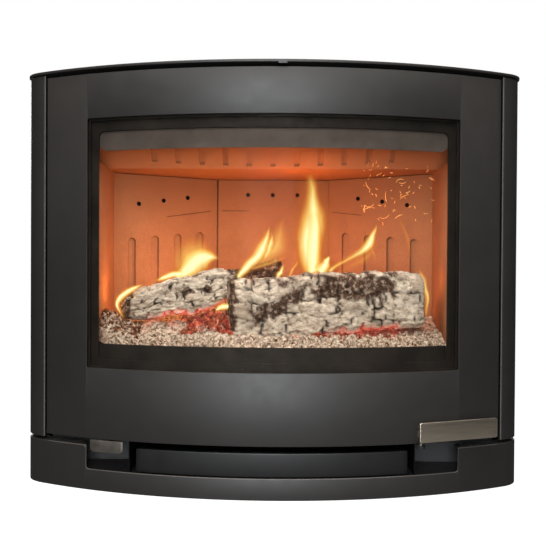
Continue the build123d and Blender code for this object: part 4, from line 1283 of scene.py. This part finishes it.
# Flames and logs as drawn from the picture, in millimetres. Flame: depth of the sheet, then from
# foot to tip the sideways position, height, width and heat. Log: sideways position, top, bottom,
# front and rear.
FLAMES = (
    ("left_end", 121, (-180, 191, 3, 0.2), (-187, 204, 4, 0.6), (-190, 212, 6, 0.9), (-188, 218, 8, 1),
     (-181, 224, 7, 1), (-172, 230, 7, 0.9), (-163, 234, 5, 0.7), (-156, 236, 3, 0.3)),
    ("left_low", 140, (-160, 233, 7, 0.1), (-146, 239, 10, 0.2), (-134, 245, 11, 0.3),
     (-115, 250, 15, 0.3)),
    ("left_edge", 132, (-143, 240, 4, 0.4), (-134, 244, 7, 0.9), (-124, 248, 8, 1), (-115, 249, 9, 0.9),
     (-108, 251, 7, 0.5)),
    ("left_tongue", 138, (-121, 244, 8, 0.9), (-112, 249, 15, 1), (-104, 255, 24, 1), (-97, 262, 31, 1),
     (-88, 268, 28, 1), (-80, 270, 20, 0.9), (-72, 270, 11, 0.7), (-64, 267, 2, 0.4)),
    # Painted light: the left halo is a wide, weak glowing sheet standing for the flames' light on the boards
    # behind.
    ("left_halo", 150, (-122, 244, 26, 0.25), (-110, 257, 44, 0.55), (-101, 269, 52, 0.6),
     (-87, 274, 42, 0.5), (-70, 272, 20, 0.2)),
    ("middle", 128, (-44, 242, 6, 0.6), (-39, 250, 9, 1), (-29, 260, 12, 1), (-20, 268, 12, 1),
     (-15, 276, 14, 0.9), (-11, 285, 13, 0.85), (-7, 295, 10, 0.7), (-5, 303, 6, 0.5), (-3, 309, 2, 0.3)),
    ("middle_tip", 132, (-11, 268, 8, 0.5), (-4, 280, 12, 0.7), (-2, 289, 9, 0.7), (-1, 295, 6, 0.5),
     (-1, 301, 2, 0.3)),
    ("middle_fan", 142, (-31, 253, 12, 0.1), (-9, 268, 28, 0.45), (4, 281, 38, 0.5), (8, 297, 32, 0.4),
     (11, 310, 17, 0.25), (14, 321, 8, 0.1)),
    ("middle_low", 126, (-28, 255, 5, 0.35), (-9, 261, 7, 0.4), (7, 266, 7, 0.35), (23, 274, 4, 0.1)),
    ("small_one", 128, (6, 245, 7, 0.6), (9, 250, 6, 0.9), (12, 256, 5, 0.7), (14, 262, 3, 0.3)),
    ("small_two", 132, (20, 244, 7, 0.35), (24, 253, 6, 0.5), (29, 261, 6, 0.4), (32, 267, 5, 0.2)),
    ("tall", 140, (49, 248, 20, 0.7), (51, 254, 23, 0.9), (49, 264, 25, 1), (47, 276, 26, 1),
     (46, 292, 30, 1), (49, 308, 32, 0.9), (51, 322, 30, 0.85), (49, 334, 21, 0.75), (48, 346, 17, 0.65),
     (49, 356, 15, 0.55), (47, 365, 15, 0.4), (45, 373, 13, 0.2), (48, 381, 5, 0.05)),
    ("tall_core", 134, (50, 251, 17, 0.8), (51, 270, 16, 1), (51, 289, 15, 1), (52, 308, 15, 0.9),
     (51, 320, 14, 0.7), (50, 331, 9, 0.35)),
    ("tall_side", 130, (57, 251, 20, 0.8), (65, 260, 13, 1), (68, 267, 8, 0.9), (70, 273, 2, 0.45)),
    ("right", 134, (68, 251, 7, 0.8), (76, 258, 6, 0.5), (90, 267, 7, 0.5), (106, 275, 9, 0.6),
     (116, 283, 12, 0.85), (121, 291, 11, 0.9), (124, 300, 7, 0.7), (127, 308, 4, 0.4),
     (127, 315, 1, 0.1)),
    ("right_curtain", 146, (80, 250, 10, 0.1), (96, 259, 14, 0.2), (112, 268, 14, 0.3),
     (120, 274, 13, 0.3), (124, 281, 6, 0.15)),
    ("right_thread", 136, (128, 260, 2, 0.1), (126, 270, 2, 0.3), (123, 279, 3, 0.35),
     (122, 287, 2, 0.15)),
    ("right_end", 118, (186, 198, 7, 0.3), (188, 222, 7, 0.6), (183, 243, 9, 0.6), (177, 259, 5, 0.2)),
    ("wisp", 150, (172, 269, 7, 0.1), (167, 296, 8, 0.25), (154, 326, 6, 0.05)),
    ("embers", 116, (-70, 205, 3, 0.6), (-62, 209, 8, 1), (-55, 210, 8, 1), (-49, 208, 4, 0.5)),
)
LEFT_LOG = (
    (-179, 220, 194, 121, 146), (-167, 228, 192, 118, 150), (-150, 236, 193, 117, 155),
    (-130, 242, 197, 117, 158), (-110, 247, 199, 118, 160), (-95, 250, 199, 119, 162),
    (-68, 254, 211, 122, 163), (-40, 256, 223, 126, 162),
)
RIGHT_LOG = (
    (-50, 244, 164, 92, 150), (-12, 245, 163, 90, 154), (12, 247, 165, 90, 156), (44, 251, 168, 92, 157),
    (80, 253, 176, 93, 157), (110, 253, 180, 94, 156), (141, 254, 183, 95, 155),
    (175, 253, 184, 98, 152), (182, 248, 187, 100, 150),
)
BACK_LOG = (
    (-46, 255, 225, 172, 200), (-15, 264, 230, 170, 205), (6, 270, 235, 172, 205),
    (12, 265, 238, 176, 200),
)


def left_log_char(across, height):
    end = smooth(-0.164, -0.178, across)
    holes = [math.hypot((across - centre) * 0.7, height - 0.2285) for centre in (-0.078, -0.101)]
    right = smooth(-0.062, -0.050, across)
    return max(0.8 * end, smooth(0.008, 0.003, min(holes)), 0.85 * right) + 0.05


def right_log_char(across, height):
    left_edge = smooth(-0.040, -0.046, across)
    off_hollow = abs(height - 0.203 - (across + 0.008) * 0.60)
    hollow = smooth(0.016, 0.005, off_hollow) * smooth(0.042, 0.024, abs(across - 0.006))
    rag = 0.010 * uneven((across * 60, height * 60, 2))
    band = smooth(0.040, 0.056, across + rag) * smooth(0.150, 0.138, across + rag)
    band *= smooth(0.216, 0.224, height + rag) * smooth(0.254, 0.246, height + rag)
    upper = smooth(0.230, 0.244, height) * smooth(-0.01, 0.03, across) * smooth(0.150, 0.130, across)
    scorched = smooth(0.226, 0.238, height) * smooth(-0.030, -0.015, across) * smooth(0.062, 0.048, across)
    return max(left_edge, hollow, 0.9 * band, 0.46 * upper, 0.58 * scorched) + 0.10


# Painted light: a flame that is hot enough gets a wide, weak glowing sheet behind it, standing for the
# flame's light on the boards; sizes in millimetres.
GLOW_FROM = 0.85
GLOW_BEHIND = 8
GLOW_HEAT = 0.30
GLOW_WIDTH = 2.8


def the_fire():
    burning_log("left_log", LEFT_LOG, (0.011, 0), (0.0155, 0.0145), left_log_char,
                lambda across: 1.1 * smooth(-0.16, -0.13, across), seed=5)
    burning_log("right_log", RIGHT_LOG, (0.009, 0.004), (0.0165, 0.0118), right_log_char,
                lambda across: 0.9 * smooth(0.038, 0.05, across) * smooth(0.170, 0.150, across), seed=31)
    burning_log("back_log", BACK_LOG, (0, 0), (0.012, 0.012), lambda across, height: 1.0,
                lambda across: 0.25, seed=17, rounds=90, rings=60)
    ash_bed()
    for name, count, left, right, front, rear, size, seed, glow, dark in CRUMBS:
        crumbs(name, count, (left, right), (front, rear), size, seed, glow, dark)
    for name, depth, *path in FLAMES:
        flame("flame_" + name, depth, path)
        # Painted light: a glowing sheet behind each hot flame, for its light on the boards.
        if max(heat for *_, heat in path) > GLOW_FROM:
            glow = [(*row, GLOW_HEAT * heat) for *row, heat in path]
            flame(f"flame_{name}_glow", depth + GLOW_BEHIND, glow, wider=GLOW_WIDTH)
    sparks()
    load_line()
    air_hole_shade()


# Studio.

FLOOR = -0.65


def pale_floor():
    """Plain pale floor that the camera sees as bright as the backdrop."""
    surface = Finish("pale_floor", roughness=0.9)
    surface.colour(surface.grain(2), (0.3, (0.13, 0.13, 0.13)), (0.7, (0.12, 0.12, 0.12)))
    ray = surface.add("ShaderNodeLightPath")
    surface.shader.inputs["Emission Color"].default_value = (1, 1, 1, 1)
    surface.links.new(ray.outputs["Is Camera Ray"], surface.shader.inputs["Emission Strength"])
    return surface.material


def studio():
    deselect()
    bpy.ops.mesh.primitive_plane_add(size=60, location=(0, 0, FLOOR))
    floor = bpy.context.object
    floor.name = "floor"
    floor.data.materials.append(pale_floor())
    world = bpy.data.worlds.new("white_studio")
    bpy.context.scene.world = world
    world.use_nodes = True
    nodes = world.node_tree.nodes
    links = world.node_tree.links
    backdrop = nodes["Background"]
    backdrop.inputs["Color"].default_value = (1, 1, 1, 1)
    backdrop.inputs["Strength"].default_value = 1.0
    fill = nodes.new("ShaderNodeBackground")
    fill.inputs["Color"].default_value = (0.93, 0.96, 1.0, 1)
    fill.inputs["Strength"].default_value = 0.045
    ray = nodes.new("ShaderNodeLightPath")
    mixed = nodes.new("ShaderNodeMixShader")
    links.new(ray.outputs["Is Camera Ray"], mixed.inputs[0])
    links.new(fill.outputs[0], mixed.inputs[1])
    links.new(backdrop.outputs[0], mixed.inputs[2])
    links.new(mixed.outputs[0], nodes["World Output"].inputs["Surface"])


def lamp(name, kind, place, energy, colour):
    data = bpy.data.lights.new(name, kind)
    data.energy = energy
    data.color = colour
    light = bpy.data.objects.new(name, data)
    light.location = place
    show(light)
    light.visible_camera = False
    return light


def soft_light(name, place, aim, size, energy, colour):
    light = lamp(name, "AREA", place, energy, colour)
    light.data.shape = "RECTANGLE"
    light.data.size, light.data.size_y = size
    light.rotation_euler = (Vector(aim) - Vector(place)).to_track_quat("-Z", "Y").to_euler()


def fire_light(name, place, energy, colour, radius=0.03):
    light = lamp(name, "POINT", place, energy, colour)
    light.data.shadow_soft_size = radius
    light.visible_glossy = False


def photo_camera():
    data = bpy.data.cameras.new("photo_view")
    data.lens = 65.93
    data.shift_x = 0.033
    data.shift_y = 0.0055
    data.clip_start = 0.05
    camera = bpy.data.objects.new("photo_view", data)
    camera.location = (-0.0018, -1.4859, -0.0358)
    camera.rotation_euler = [math.radians(angle) for angle in (89.19, -0.32, 0.92)]
    show(camera)
    bpy.context.scene.camera = camera


finish_cad_nodes()
side_panels()
top_plate()
base_skirt()
door_cover()
door_window()
drawer_face()
lever_cover()
handle_cover()
ring_seal("door_seal", half=0.237, low=0.076, high=0.463, corner=0.010, inset=0.01165,
          thickness=0.0094, node="door_rope")
ring_seal("window_seal", half=0.219, low=0.136, high=0.433, corner=0.003, inset=0.005,
          thickness=0.0018, node="glass_gasket")
the_fire()

studio()
soft_light("front_box", (-0.07, -2.2, 0.30), aim=(-0.02, -0.3, -0.06), size=(0.62, 1.3), energy=38,
           colour=(0.93, 0.97, 1.0))
soft_light("overhead", (0, -0.8, 1.3), aim=(0, -0.3, 0), size=(2.0, 1.0), energy=40,
           colour=(1.0, 0.94, 0.88))
soft_light("log_light", spot(0.0, 0.050, 0.372), aim=spot(0.0, 0.11, 0.20), size=(0.34, 0.03), energy=0.38,
           colour=(1.0, 0.93, 0.86))
fire_light("fire_glow", spot(0.03, 0.160, 0.305), energy=0.41, colour=(1.0, 0.30, 0.085))
fire_light("fire_left", spot(-0.10, 0.165, 0.272), energy=0.19, colour=(1.0, 0.40, 0.10))
fire_light("fire_left_end", spot(-0.184, 0.13, 0.230), energy=0.048, colour=(1.0, 0.42, 0.12), radius=0.01)
fire_light("fire_right_end", spot(0.190, 0.13, 0.240), energy=0.012, colour=(1.0, 0.36, 0.10), radius=0.01)
soft_light("rear_left", (-1.05, 2.45, 0.9), aim=(0, 0, 0), size=(1.1, 1.2), energy=42,
           colour=(0.97, 0.98, 1.0))
soft_light("rear_right", (0.9, 2.4, 0.9), aim=(0, 0, 0), size=(0.9, 1.0), energy=18,
           colour=(1.0, 0.98, 0.95))
photo_camera()
bpy.context.scene.view_settings.view_transform = "Standard"
